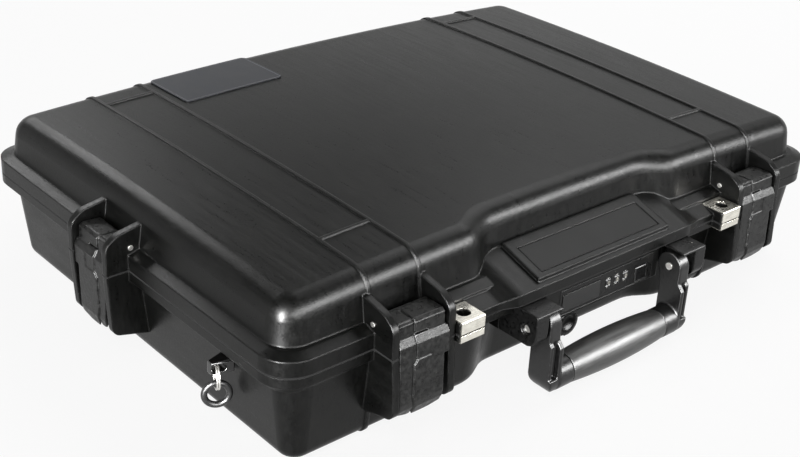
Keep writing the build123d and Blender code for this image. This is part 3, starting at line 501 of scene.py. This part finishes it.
@dataclass(frozen=True)
class FoamCells:
    """Open-cell foam in soft charcoal grey, its pores painted darker as the shade in their hollows."""

    dark: Colour = (0.008, 0.008, 0.009)
    light: Colour = (0.034, 0.034, 0.037)
    small_pore: float = 1.1 * MM
    large_pore: float = 2.9 * MM
    small_share: float = 0.6
    pore_depth: float = 0.6 * MM

    def make(self) -> bpy.types.Material:
        """Builds the material.

        Returns:
            The foam's material.
        """
        bench = Bench("foam_cells", specular=0.15, sheen=0.15)
        height = bench.mean(bench.cells(self.small_pore), bench.cells(self.large_pore), self.small_share)
        # painted shade: the colour darkens as the bump height falls, so the hollows between the cells carry
        # painted shade
        colour = bench.blend_colours(bench.spread(height, 0, 1, 0.1, 0.62), self.light, self.dark)
        rough = bench.spread(height, 0.9, 1.0)
        return bench.finish(colour, rough, bench.bumps(bench.spread(height, 1, 0), self.pore_depth, 0.8))


@dataclass(frozen=True)
class SatinPlate:
    """Thin bare plates: the dark label plate and the smooth inlays of name panel and lock."""

    name: str
    dark: Colour
    light: Colour
    rough_low: float
    rough_high: float
    specular: float = 0.3
    rubbed: float = 16 * MM
    rubbed_turn: Triple = (0, 0, 20)
    rubbed_stretch: Triple = (1, 0.6, 1)
    rubbed_share: float = 0.6
    fine: float = 0.8 * MM
    fine_depth: float = 0.03 * MM
    edge: float = 0.4 * MM
    border_of: str = ""
    border: Colour = (0.16, 0.17, 0.19)
    border_inset: float = 1.7 * MM
    border_half: float = 0.28 * MM

    def make(self) -> bpy.types.Material:
        """Builds the material.

        Returns:
            The plate's material.
        """
        bench = Bench(self.name, specular=self.specular)
        rubbed = bench.grain(self.rubbed, 2, 0.45, bench.moved(self.rubbed_turn, self.rubbed_stretch))
        fine = bench.grain(self.fine, 3, 0.55)
        mixed = bench.mean(rubbed, fine, self.rubbed_share)
        colour = bench.blend_colours(bench.spread(mixed, 0, 1, 0.36, 0.64), self.dark, self.light)
        if self.border_of:
            low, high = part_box(self.border_of)
            line = bench.frame_line(low, high, self.border_inset, self.border_half)
            colour = bench.blend_colours(line, colour, self.border)
        rough = bench.spread(mixed, self.rough_low, self.rough_high, 0.3, 0.7)
        normal = bench.bumps(fine, self.fine_depth, 0.5, bench.soft_edges(self.edge))
        return bench.finish(colour, rough, normal)


@dataclass(frozen=True)
class SoftRubber:
    """Black rubber of the seal and the strap rings."""

    dark: Colour = (0.003, 0.003, 0.003)
    light: Colour = (0.008, 0.008, 0.008)
    fine: float = 0.7 * MM
    fine_depth: float = 0.04 * MM
    dust: float = 7 * MM

    def make(self) -> bpy.types.Material:
        """Builds the material.

        Returns:
            The rubber's material.
        """
        bench = Bench("black_rubber", specular=0.5)
        fine = bench.grain(self.fine, 3, 0.6)
        dust = bench.grain(self.dust, 3, 0.6)
        colour = bench.blend_colours(bench.spread(dust, 0, 1, 0.4, 0.7), self.dark, self.light)
        rough = bench.spread(fine, 0.28, 0.46, 0.3, 0.7)
        return bench.finish(colour, rough, bench.bumps(fine, self.fine_depth, 0.5))


@dataclass(frozen=True)
class NumeralPaint:
    """Pale paint of the dials' numerals."""

    dark: Colour = (0.72, 0.70, 0.60)
    light: Colour = (0.86, 0.84, 0.74)
    speck: float = 0.5 * MM
    speck_depth: float = 0.02 * MM

    def make(self) -> bpy.types.Material:
        """Builds the material.

        Returns:
            The paint's material.
        """
        bench = Bench("numeral_paint", specular=0.4)
        specks = bench.grain(self.speck, 2, 0.5)
        colour = bench.blend_colours(bench.spread(specks, 0, 1, 0.3, 0.7), self.dark, self.light)
        rough = bench.spread(specks, 0.35, 0.5)
        return bench.finish(colour, rough, bench.bumps(specks, self.speck_depth, 0.3))


@dataclass(frozen=True)
class Finishes:
    """Every finish of the case, made once."""

    shell: bpy.types.Material
    latch: bpy.types.Material
    bracket: bpy.types.Material
    handle: bpy.types.Material
    gloss: bpy.types.Material
    steel: bpy.types.Material
    plate: bpy.types.Material
    grip: bpy.types.Material
    foam: bpy.types.Material
    label: bpy.types.Material
    panel: bpy.types.Material
    blank: bpy.types.Material
    rubber: bpy.types.Material
    numerals: bpy.types.Material

    @classmethod
    def mix(cls) -> "Finishes":
        """Mixes all the finishes.

        Returns:
            The set of materials.
        """
        return cls(
            shell=PebbledShell().make(),
            latch=MouldedHardware("latch_plastic", (0.0025, 0.0026, 0.0024), (0.019, 0.0192, 0.018),
                                  rough_low=0.26, rough_high=0.50, mottle=3.0 * MM, mottle_depth=0.22 * MM,
                                  specular=0.2).make(),
            bracket=MouldedHardware("bracket_plastic", (0.003, 0.003, 0.003), (0.0085, 0.0085, 0.008),
                                    rough_low=0.26, rough_high=0.42, specular=0.17).make(),
            handle=MouldedHardware("handle_gloss_plastic", (0.0025, 0.0025, 0.0025), (0.006, 0.006, 0.006),
                                   rough_low=0.28, rough_high=0.40, mottle_depth=0.02 * MM, coat=0.05).make(),
            gloss=MouldedHardware("gloss_plastic", (0.004, 0.004, 0.004), (0.009, 0.009, 0.009),
                                  rough_low=0.10, rough_high=0.22, mottle_depth=0.03 * MM, coat=0.5).make(),
            steel=BareMetal("turned_steel", (0.66, 0.65, 0.62), (0.48, 0.47, 0.45),
                            rough_low=0.24, rough_high=0.40).make(),
            plate=BareMetal("polished_steel", (0.74, 0.72, 0.65), (0.52, 0.50, 0.45),
                            rough_low=0.18, rough_high=0.36).make(),
            grip=GripRubber().make(),
            foam=FoamCells().make(),
            label=SatinPlate("label_satin", (0.011, 0.013, 0.019), (0.017, 0.020, 0.029),
                             rough_low=0.30, rough_high=0.42, specular=0.2,
                             border_of="lid_label_plate").make(),
            # the name panel's border is painted shade: a black line just inside its edge stands in for the
            # shadow of the groove round the inlay
            panel=SatinPlate("panel_satin", (0.008, 0.0083, 0.0077), (0.013, 0.0133, 0.0125),
                             rough_low=0.38, rough_high=0.48, specular=0.14, border_of="lid_name_panel",
                             border=PAINTED_GROOVE_SHADE, border_inset=0.5 * MM, border_half=0.5 * MM).make(),
            blank=SatinPlate("blank_satin", (0.004, 0.004, 0.004), (0.008, 0.008, 0.0075),
                             rough_low=0.34, rough_high=0.44).make(),
            rubber=SoftRubber().make(),
            numerals=NumeralPaint().make(),
        )


# ------------------------------------------------------------------ mesh tools
def dress(node: str, material: bpy.types.Material) -> None:
    """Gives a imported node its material.

    Args:
        node: the node's name.
        material: its new material.
    """
    data = NODES[node].data
    data.materials.clear()
    data.materials.append(material)
    log.info("dressed %s with %s", node, material.name)


def add_piece(name: str, mesh: bpy.types.Mesh, body: str, material: bpy.types.Material,
              stands_for: tuple[str, ...] = ()) -> bpy.types.Object:
    """Adds a new piece of the case.

    Args:
        name: the piece's name.
        mesh: its mesh, in the case's own coordinates.
        body: the moving body that carries it.
        material: its material.
        stands_for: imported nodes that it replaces.

    Returns:
        The new object.
    """
    piece = bpy.data.objects.new(name, mesh)
    bpy.context.scene.collection.objects.link(piece)
    mesh.materials.clear()
    mesh.materials.append(material)
    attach(piece, body)
    if stands_for:
        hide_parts(*stands_for)
    log.info("added %s on %s, %d faces", name, body, len(mesh.polygons))
    return piece


def rounded_copy(node: str, name: str, voxel: float, rounds: int, keep: float = 0.4,
                 step: float = 0.5) -> bpy.types.Mesh:
    """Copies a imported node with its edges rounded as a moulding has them.

    Args:
        node: the node to copy.
        name: the new mesh's name.
        voxel: size of the remesh in metres.
        rounds: smoothing passes.
        keep: share of the faces to keep.
        step: how far each pass moves a point towards its neighbours.

    Returns:
        The rounded mesh.
    """
    blank = bpy.data.objects.new(name, NODES[node].data.copy())
    bpy.context.scene.collection.objects.link(blank)
    remesh = blank.modifiers.new("remesh", "REMESH")
    remesh.mode = "VOXEL"
    remesh.voxel_size = voxel
    remesh.use_smooth_shade = True
    smooth = blank.modifiers.new("smooth", "SMOOTH")
    smooth.factor = step
    smooth.iterations = rounds
    thin = blank.modifiers.new("thin", "DECIMATE")
    thin.ratio = keep
    graph = bpy.context.evaluated_depsgraph_get()
    mesh = bpy.data.meshes.new_from_object(blank.evaluated_get(graph))
    bpy.data.objects.remove(blank)
    mesh.name = name
    mesh.polygons.foreach_set("use_smooth", [True] * len(mesh.polygons))
    return mesh


def skin_between(shape: bmesh.types.BMesh, low: list[bmesh.types.BMVert],
                 high: list[bmesh.types.BMVert]) -> None:
    """Joins two rows of equal length with a strip of faces.

    Args:
        shape: the mesh in the making.
        low: the first row.
        high: the second row.
    """
    for i in range(len(low) - 1):
        shape.faces.new((low[i], low[i + 1], high[i + 1], high[i]))


def smooth_mesh(shape: bmesh.types.BMesh, name: str) -> bpy.types.Mesh:
    """Ends a mesh in the making, with its faces turned outwards and smooth.

    Args:
        shape: the mesh in the making, which is freed.
        name: the mesh's name.

    Returns:
        The mesh.
    """
    bmesh.ops.recalc_face_normals(shape, faces=shape.faces)
    for face in shape.faces:
        face.smooth = True
    mesh = bpy.data.meshes.new(name)
    shape.to_mesh(mesh)
    shape.free()
    return mesh


# ------------------------------------------------------------------ sub-assemblies
@dataclass
class Shells:
    """Lid and base with the plates set into the lid, the seal and the hinge pins."""

    finishes: Finishes

    def build(self) -> None:
        """Dresses the shells' nodes."""
        for node in ("lid_shell", "base_shell"):
            dress(node, self.finishes.shell)
        dress("lid_name_panel", self.finishes.panel)
        dress("lid_label_plate", self.finishes.label)
        dress("lid_seal", self.finishes.rubber)
        for node in ("hinge_pins", "latch_pins"):
            dress(node, self.finishes.steel)


@dataclass
class FoamPads:
    """The two foam pads: a flat one in the base and a crested one in the lid."""

    finishes: Finishes
    fill: float = 0.9
    columns: int = 150
    rows: int = 100
    wave_depth: float = 12 * MM
    wave_outer: float = 98 * MM
    wave_inner: float = 77 * MM
    corner: float = 14 * MM
    edge: float = 2.6 * MM
    crest_pitch: float = 26 * MM
    crest_height: float = 7.0 * MM
    crest_fade: float = 4 * MM
    ripple: float = 0.25 * MM
    clear: float = 0.4 * MM

    def front_edge(self, x: float, front: float) -> float:
        """Front edge of a pad, set back in the middle.

        Args:
            x: place across the case.
            front: the pad's front beside the set-back.

        Returns:
            The edge's y.
        """
        share = (self.wave_outer - abs(x)) / (self.wave_outer - self.wave_inner)
        share = min(max(share, 0.0), 1.0)
        return front + self.wave_depth * share * share * (3 - 2 * share)

    def pad(self, node: str, name: str, crested: bool) -> bpy.types.Mesh:
        """Builds one pad inside the space of its node.

        Args:
            node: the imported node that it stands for.
            name: the mesh's name.
            crested: True for crests on the lower face, as in the lid.

        Returns:
            The pad's mesh.
        """
        low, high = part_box(node)
        low, high = low + Vector((self.clear,) * 3), high - Vector((self.clear,) * 3)
        top, bottom = [], []
        for j in range(self.rows + 1):
            v = j / self.rows
            upper_row, lower_row = [], []
            for i in range(self.columns + 1):
                x = low.x + (high.x - low.x) * i / self.columns
                near_end = max(abs(x) - (high.x - self.corner), 0) / self.corner
                cut = self.corner * (1 - math.sqrt(max(1 - near_end ** 2, 0)))
                front, back = self.front_edge(x, low.y) + cut, high.y - cut
                y = front + (back - front) * v
                margin = min(y - front, back - y, high.x - abs(x))
                dip = self.edge * (1 - math.sqrt(max(1 - max(1 - margin / self.edge, 0) ** 2, 0)))
                turn = 2 * math.pi / self.crest_pitch
                wave = math.cos(turn * x) * math.cos(turn * y)
                soft = self.ripple * math.sin(31 * x + 17 * y) * math.cos(23 * y - 11 * x)
                if crested:
                    fade = min(margin / self.crest_fade, 1)
                    face = low.z + dip + self.crest_height * (0.5 - 0.5 * wave) * fade
                    upper_row.append(Vector((x, y, high.z)))
                    lower_row.append(Vector((x, y, face)))
                else:
                    upper_row.append(Vector((x, y, high.z - dip - abs(soft))))
                    lower_row.append(Vector((x, y, low.z)))
            top.append(upper_row)
            bottom.append(lower_row)
        shape = bmesh.new()
        grids = []
        for rows in (top, bottom):
            made = [[shape.verts.new(p) for p in row] for row in rows]
            for a, b in zip(made, made[1:]):
                skin_between(shape, a, b)
            grids.append(made)
        upper, lower = grids
        rims = [([r[0] for r in upper], [r[0] for r in lower]),
                ([r[-1] for r in upper], [r[-1] for r in lower]),
                (upper[0], lower[0]), (upper[-1], lower[-1])]
        for a, b in rims:
            skin_between(shape, a, b)
        return smooth_mesh(shape, name)

    def build(self) -> None:
        for node, name, body, crested in (("base_foam", "base_pad_foam", "base", False),
                                          ("lid_foam", "lid_pad_crested_foam", "lid", True)):
            piece = add_piece(name, self.pad(node, name, crested), body, self.finishes.foam, (node,))


@dataclass
class Latches:
    """The four levers with their claws."""

    finishes: Finishes
    voxel: float = 0.42 * MM
    rounds: int = 3

    def build(self) -> None:
        """Rounds the levers and dresses the claws."""
        for site in LatchSite:
            node = f"latch_lever_{site.value}"
            mesh = rounded_copy(node, f"{node}_moulded", self.voxel, self.rounds)
            add_piece(f"{node}_moulded", mesh, f"lever_{site.value}", self.finishes.latch, (node,))
            dress(f"latch_claw_{site.value}", self.finishes.bracket)


@dataclass
class CarryHandle:
    """The folding handle: bow, grip, pins and the two brackets."""

    finishes: Finishes
    bow_voxel: float = 0.55 * MM
    bow_rounds: int = 12
    bracket_voxel: float = 0.5 * MM
    rounds: int = 4

    def build(self) -> None:
        """Rounds the bow and the brackets, and dresses the rest."""
        mesh = rounded_copy("handle_frame", "handle_bow_moulded", self.bow_voxel, self.bow_rounds)
        add_piece("handle_bow_moulded", mesh, "handle", self.finishes.handle, ("handle_frame",))
        for hand in Hand:
            node = f"handle_bracket_{hand.value}"
            mesh = rounded_copy(node, f"{node}_moulded", self.bracket_voxel, self.rounds)
            add_piece(f"{node}_moulded", mesh, "base", self.finishes.bracket, (node,))
        dress("handle_grip", self.finishes.grip)
        dress("handle_pins", self.finishes.steel)


@dataclass
class DialLock:
    """The three-dial lock with its painted numerals."""

    finishes: Finishes
    numeral_height: float = 3.1 * MM
    font_over_height: float = 1.35
    numeral_half_depth: float = 0.12 * MM
    numeral_swell: float = 0.05 * MM
    numeral_stand: float = 0.16 * MM

    def numeral_ring(self, dial: str) -> bpy.types.Mesh:
        """Ten numerals round one dial.

        Args:
            dial: the dial's node.

        Returns:
            One mesh with all ten.
        """
        low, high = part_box(dial)
        centre, radius = (low + high) / 2, (high.y - low.y) / 2
        shape = bmesh.new()
        for digit in range(10):
            curve = bpy.data.curves.new(f"numeral_{digit}", "FONT")
            curve.body = str(digit)
            curve.size = self.numeral_height * self.font_over_height
            curve.align_x = "CENTER"
            curve.align_y = "CENTER"
            curve.extrude = self.numeral_half_depth
            curve.offset = self.numeral_swell
            text = bpy.data.objects.new(curve.name, curve)
            bpy.context.scene.collection.objects.link(text)
            graph = bpy.context.evaluated_depsgraph_get()
            mesh = bpy.data.meshes.new_from_object(text.evaluated_get(graph))
            bpy.data.objects.remove(text)
            ys = [v.co.y for v in mesh.vertices]
            mesh.transform(Matrix.Translation((0, -(min(ys) + max(ys)) / 2, 0)))
            upright = Euler((math.pi / 2, 0, 0)).to_matrix().to_4x4()
            out = Matrix.Translation((0, -(radius + self.numeral_stand - self.numeral_half_depth), 0))
            around = Matrix.Rotation(-2 * math.pi * digit / 10, 4, "X")
            mesh.transform(Matrix.Translation(centre) @ around @ out @ upright)
            shape.from_mesh(mesh)
            bpy.data.meshes.remove(mesh)
        ring = bpy.data.meshes.new(f"{dial}_numerals")
        shape.to_mesh(ring)
        shape.free()
        return ring

    def build(self) -> None:
        """Dresses the lock and adds the numerals."""
        dress("lock_housing", self.finishes.bracket)
        dress("lock_blank_plate", self.finishes.blank)
        dress("lock_spindle", self.finishes.steel)
        dress("lock_button", self.finishes.gloss)
        for i in (1, 2, 3):
            dial = f"lock_dial_{i}"
            dress(dial, self.finishes.gloss)
            ring = self.numeral_ring(dial)
            add_piece(f"{dial}_numerals", ring, f"dial_{i}", self.finishes.numerals)


@dataclass
class PressureValve:
    """The round valve on the front wall, with a fluted knob."""

    finishes: Finishes
    steps: int = 144
    flutes: int = 18
    flute_depth: float = 0.7 * MM
    fluted_from: float = 0.93
    dish: float = 2.2 * MM

    def knob(self) -> bpy.types.Mesh:
        """Builds the fluted knob in the space of its node.

        Returns:
            The knob's mesh.
        """
        low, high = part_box("valve_knob")
        middle, radius = (low + high) / 2, (high.x - low.x) / 2
        profile = ((0.0, low.y + self.dish), (0.42, low.y + self.dish), (0.50, low.y + 0.3 * MM),
                   (0.62, low.y), (0.90, low.y), (0.97, low.y + 0.5 * MM), (1.0, low.y + 1.6 * MM),
                   (1.0, high.y - 1 * MM), (0.8, high.y))
        shape = bmesh.new()
        rows = []
        for k in range(self.steps):
            angle = 2 * math.pi * k / self.steps
            flute = self.flute_depth * (0.5 - 0.5 * math.cos(self.flutes * angle))
            row = []
            for share, y in profile:
                reach = radius * share - (flute if share > self.fluted_from else 0)
                place = (middle.x + reach * math.cos(angle), y, middle.z + reach * math.sin(angle))
                row.append(shape.verts.new(place))
            rows.append(row)
        for low_row, high_row in zip(rows, rows[1:] + rows[:1]):
            skin_between(shape, low_row, high_row)
        return smooth_mesh(shape, "valve_knob_fluted")

    def build(self) -> None:
        """Dresses the body and replaces the knob."""
        dress("valve_body", self.finishes.bracket)
        add_piece("valve_knob_fluted", self.knob(), "base", self.finishes.bracket,
                  ("valve_knob",))


@dataclass
class PadlockLugs:
    """The steel plates on the four padlock lugs."""

    finishes: Finishes

    def build(self) -> None:
        """Dresses the plates."""
        for hand in Hand:
            for half in ("lid", "base"):
                dress(f"padlock_plate_{half}_{hand.value}", self.finishes.plate)


@dataclass
class StrapRings:
    """Strap posts, wire links and rings on the two sides."""

    finishes: Finishes
    post_voxel: float = 0.35 * MM
    post_keep: float = 0.6
    rounds: int = 3

    def build(self) -> None:
        """Rounds the posts and dresses links and rings."""
        for hand in Hand:
            node = f"strap_post_{hand.value}"
            mesh = rounded_copy(node, f"{node}_moulded", self.post_voxel, self.rounds, self.post_keep)
            add_piece(f"{node}_moulded", mesh, "base", self.finishes.gloss, (node,))
            dress(f"strap_link_{hand.value}", self.finishes.steel)
            dress(f"strap_ring_{hand.value}", self.finishes.rubber)


# ------------------------------------------------------------------ studio
@dataclass(frozen=True)
class SoftLamp:
    """One soft lamp: where it hangs, what it faces, the size of its face and its power in watts."""

    name: str
    place: Triple
    target: Triple
    size: tuple[float, float]
    power: float
    gloss_only: bool = False

    def hang(self) -> None:
        """Adds the lamp to the scene; a gloss-only one shows as a highlight and adds no other light."""
        data = bpy.data.lights.new(self.name, "AREA")
        data.shape = "RECTANGLE"
        data.size, data.size_y = self.size
        data.energy = self.power
        lamp = bpy.data.objects.new(self.name, data)
        bpy.context.scene.collection.objects.link(lamp)
        lamp.location = self.place
        lamp.visible_camera = False
        lamp.visible_diffuse = not self.gloss_only
        lamp.rotation_euler = (Vector(self.target) - Vector(self.place)).to_track_quat("-Z", "Y").to_euler()


@dataclass
class Studio:
    """Floor, lamps, surroundings and the camera."""

    floor_size: float = 8.0
    floor_drop: float = 0.2 * MM
    floor_cuts: int = 8
    floor_colour: Colour = (0.92, 0.92, 0.92)
    sensor: float = 36
    lens: float = 61.77
    shift: tuple[float, float] = (-0.0504, -0.0021)
    clip: tuple[float, float] = (0.01, 50)
    stand: Triple = (-0.6552, -0.7089, 0.5243)
    right: Triple = (0.7432, -0.6659, 0.0622)
    up: Triple = (0.2672, 0.3808, 0.8851)
    back: Triple = (-0.6131, -0.6413, 0.4611)
    surround: float = 0.30
    floor_glow: float = 0.9
    wall_top: float = 0.30
    ceiling_start: float = 0.52
    ceiling: float = 0.26
    lamps: tuple[SoftLamp, ...] = (
        SoftLamp("front_strip_lamp", (0.25, -1.3, 0.62), (0, -0.15, 0.08), (2.6, 0.5), 145, gloss_only=True),
        SoftLamp("corner_strip_lamp", (-1.35, -0.65, 0.40), (-0.25, -0.17, 0.09), (0.2, 0.8), 210,
                 gloss_only=True),
        SoftLamp("back_strip_lamp", (-0.1, 1.45, 1.12), (-0.2, 0.0, 0.1), (0.9, 0.4), 12, gloss_only=True),
        SoftLamp("overhead_soft_lamp", (1.1, 0.3, 1.5), (0, 0, 0.08), (1.4, 0.9), 15),
        SoftLamp("left_soft_lamp", (-1.2, -0.8, 1.3), (-0.1, 0, 0.05), (1.0, 0.7), 8),
    )

    def seen_share(self, nodes: bpy.types.Nodes, links: bpy.types.NodeLinks) -> bpy.types.NodeSocket:
        """1 for rays that see a thing, straight or in gloss or glass, and 0 for rays that light by it.

        Args:
            nodes: the tree's nodes.
            links: the tree's links.

        Returns:
            The share's socket.
        """
        ray = nodes.new("ShaderNodeLightPath")
        most = ray.outputs["Is Camera Ray"]
        for other in ("Is Glossy Ray", "Is Transmission Ray"):
            node = nodes.new("ShaderNodeMath")
            node.operation = "MAXIMUM"
            links.new(most, node.inputs[0])
            links.new(ray.outputs[other], node.inputs[1])
            most = node.outputs[0]
        return most

    def floor(self) -> None:
        """Lays the pale floor."""
        half = self.floor_size / 2
        shape = bmesh.new()
        outline = ((-half, -half), (half, -half), (half, half), (-half, half))
        shape.faces.new([shape.verts.new((x, y, -self.floor_drop)) for x, y in outline])
        bmesh.ops.subdivide_edges(shape, edges=shape.edges, cuts=self.floor_cuts, use_grid_fill=True)
        mesh = bpy.data.meshes.new("studio_floor")
        shape.to_mesh(mesh)
        shape.free()
        floor = bpy.data.objects.new("studio_floor", mesh)
        bpy.context.scene.collection.objects.link(floor)
        bench = Bench("floor_paper", specular=0.0)
        fine = bench.grain(0.3, 3, 0.5)
        colour = bench.blend_colours(fine, self.floor_colour, tuple(0.99 * c for c in self.floor_colour))
        bench.finish(colour, bench.spread(fine, 0.95, 1.0), bench.bumps(fine, 0.0001, 0.05))
        glow, mixed = bench.nodes.new("ShaderNodeEmission"), bench.nodes.new("ShaderNodeMixShader")
        seen = self.seen_share(bench.nodes, bench.links)
        bench.links.new(bench.math("MULTIPLY", seen, self.floor_glow), mixed.inputs["Fac"])
        bench.links.new(bench.shader.outputs["BSDF"], mixed.inputs[1])
        bench.links.new(glow.outputs["Emission"], mixed.inputs[2])
        bench.links.new(mixed.outputs["Shader"], bench.output.inputs["Surface"])
        mesh.materials.append(bench.material)

    def sky(self) -> None:
        """Surroundings: white walls to the eye and in gloss, a dimmer ceiling, and both softer as light."""
        world = bpy.data.worlds.new("studio_sky")
        bpy.context.scene.world = world
        world.use_nodes = True
        nodes, links = world.node_tree.nodes, world.node_tree.links
        nodes.clear()
        output = nodes.new("ShaderNodeOutputWorld")
        dim, bright = nodes.new("ShaderNodeBackground"), nodes.new("ShaderNodeBackground")
        mixed = nodes.new("ShaderNodeMixShader")
        dim.inputs["Color"].default_value = (1, 1, 1, 1)
        dim.inputs["Strength"].default_value = self.surround
        bright.inputs["Color"].default_value = (1, 1, 1, 1)
        split = nodes.new("ShaderNodeSeparateXYZ")
        fade = nodes.new("ShaderNodeMapRange")
        links.new(nodes.new("ShaderNodeTexCoord").outputs["Generated"], split.inputs[0])
        links.new(split.outputs["Z"], fade.inputs["Value"])
        for key, value in (("From Min", self.wall_top), ("From Max", self.ceiling_start),
                           ("To Min", 1.0), ("To Max", self.ceiling)):
            fade.inputs[key].default_value = value
        links.new(fade.outputs["Result"], bright.inputs["Strength"])
        links.new(self.seen_share(nodes, links), mixed.inputs["Fac"])
        links.new(dim.outputs["Background"], mixed.inputs[1])
        links.new(bright.outputs["Background"], mixed.inputs[2])
        links.new(mixed.outputs["Shader"], output.inputs["Surface"])

    def camera(self) -> None:
        """Stands the camera where the photograph was taken from."""
        data = bpy.data.cameras.new("photo_camera")
        data.sensor_width = self.sensor
        data.lens = self.lens
        data.shift_x, data.shift_y = self.shift
        data.clip_start, data.clip_end = self.clip
        camera = bpy.data.objects.new("photo_camera", data)
        bpy.context.scene.collection.objects.link(camera)
        axes = Matrix((self.right, self.up, self.back)).transposed().to_4x4()
        camera.matrix_world = Matrix.Translation(self.stand) @ axes
        bpy.context.scene.camera = camera

    def build(self) -> None:
        """Sets up the whole studio."""
        bpy.context.scene.view_settings.view_transform = "Standard"
        self.floor()
        self.sky()
        for lamp in self.lamps:
            lamp.hang()
        self.camera()


def main() -> None:
    """Builds the case and its studio in order."""
    logging.basicConfig(level=logging.INFO, format="%(name)s: %(message)s")
    finishes = Finishes.mix()
    kinds = (Shells, FoamPads, Latches, CarryHandle, DialLock, PressureValve, PadlockLugs, StrapRings)
    for assembly in (kind(finishes) for kind in kinds):
        assembly.build()
        log.info("built %s", type(assembly).__name__)
    Studio().build()


if __name__ == "__main__":
    main()
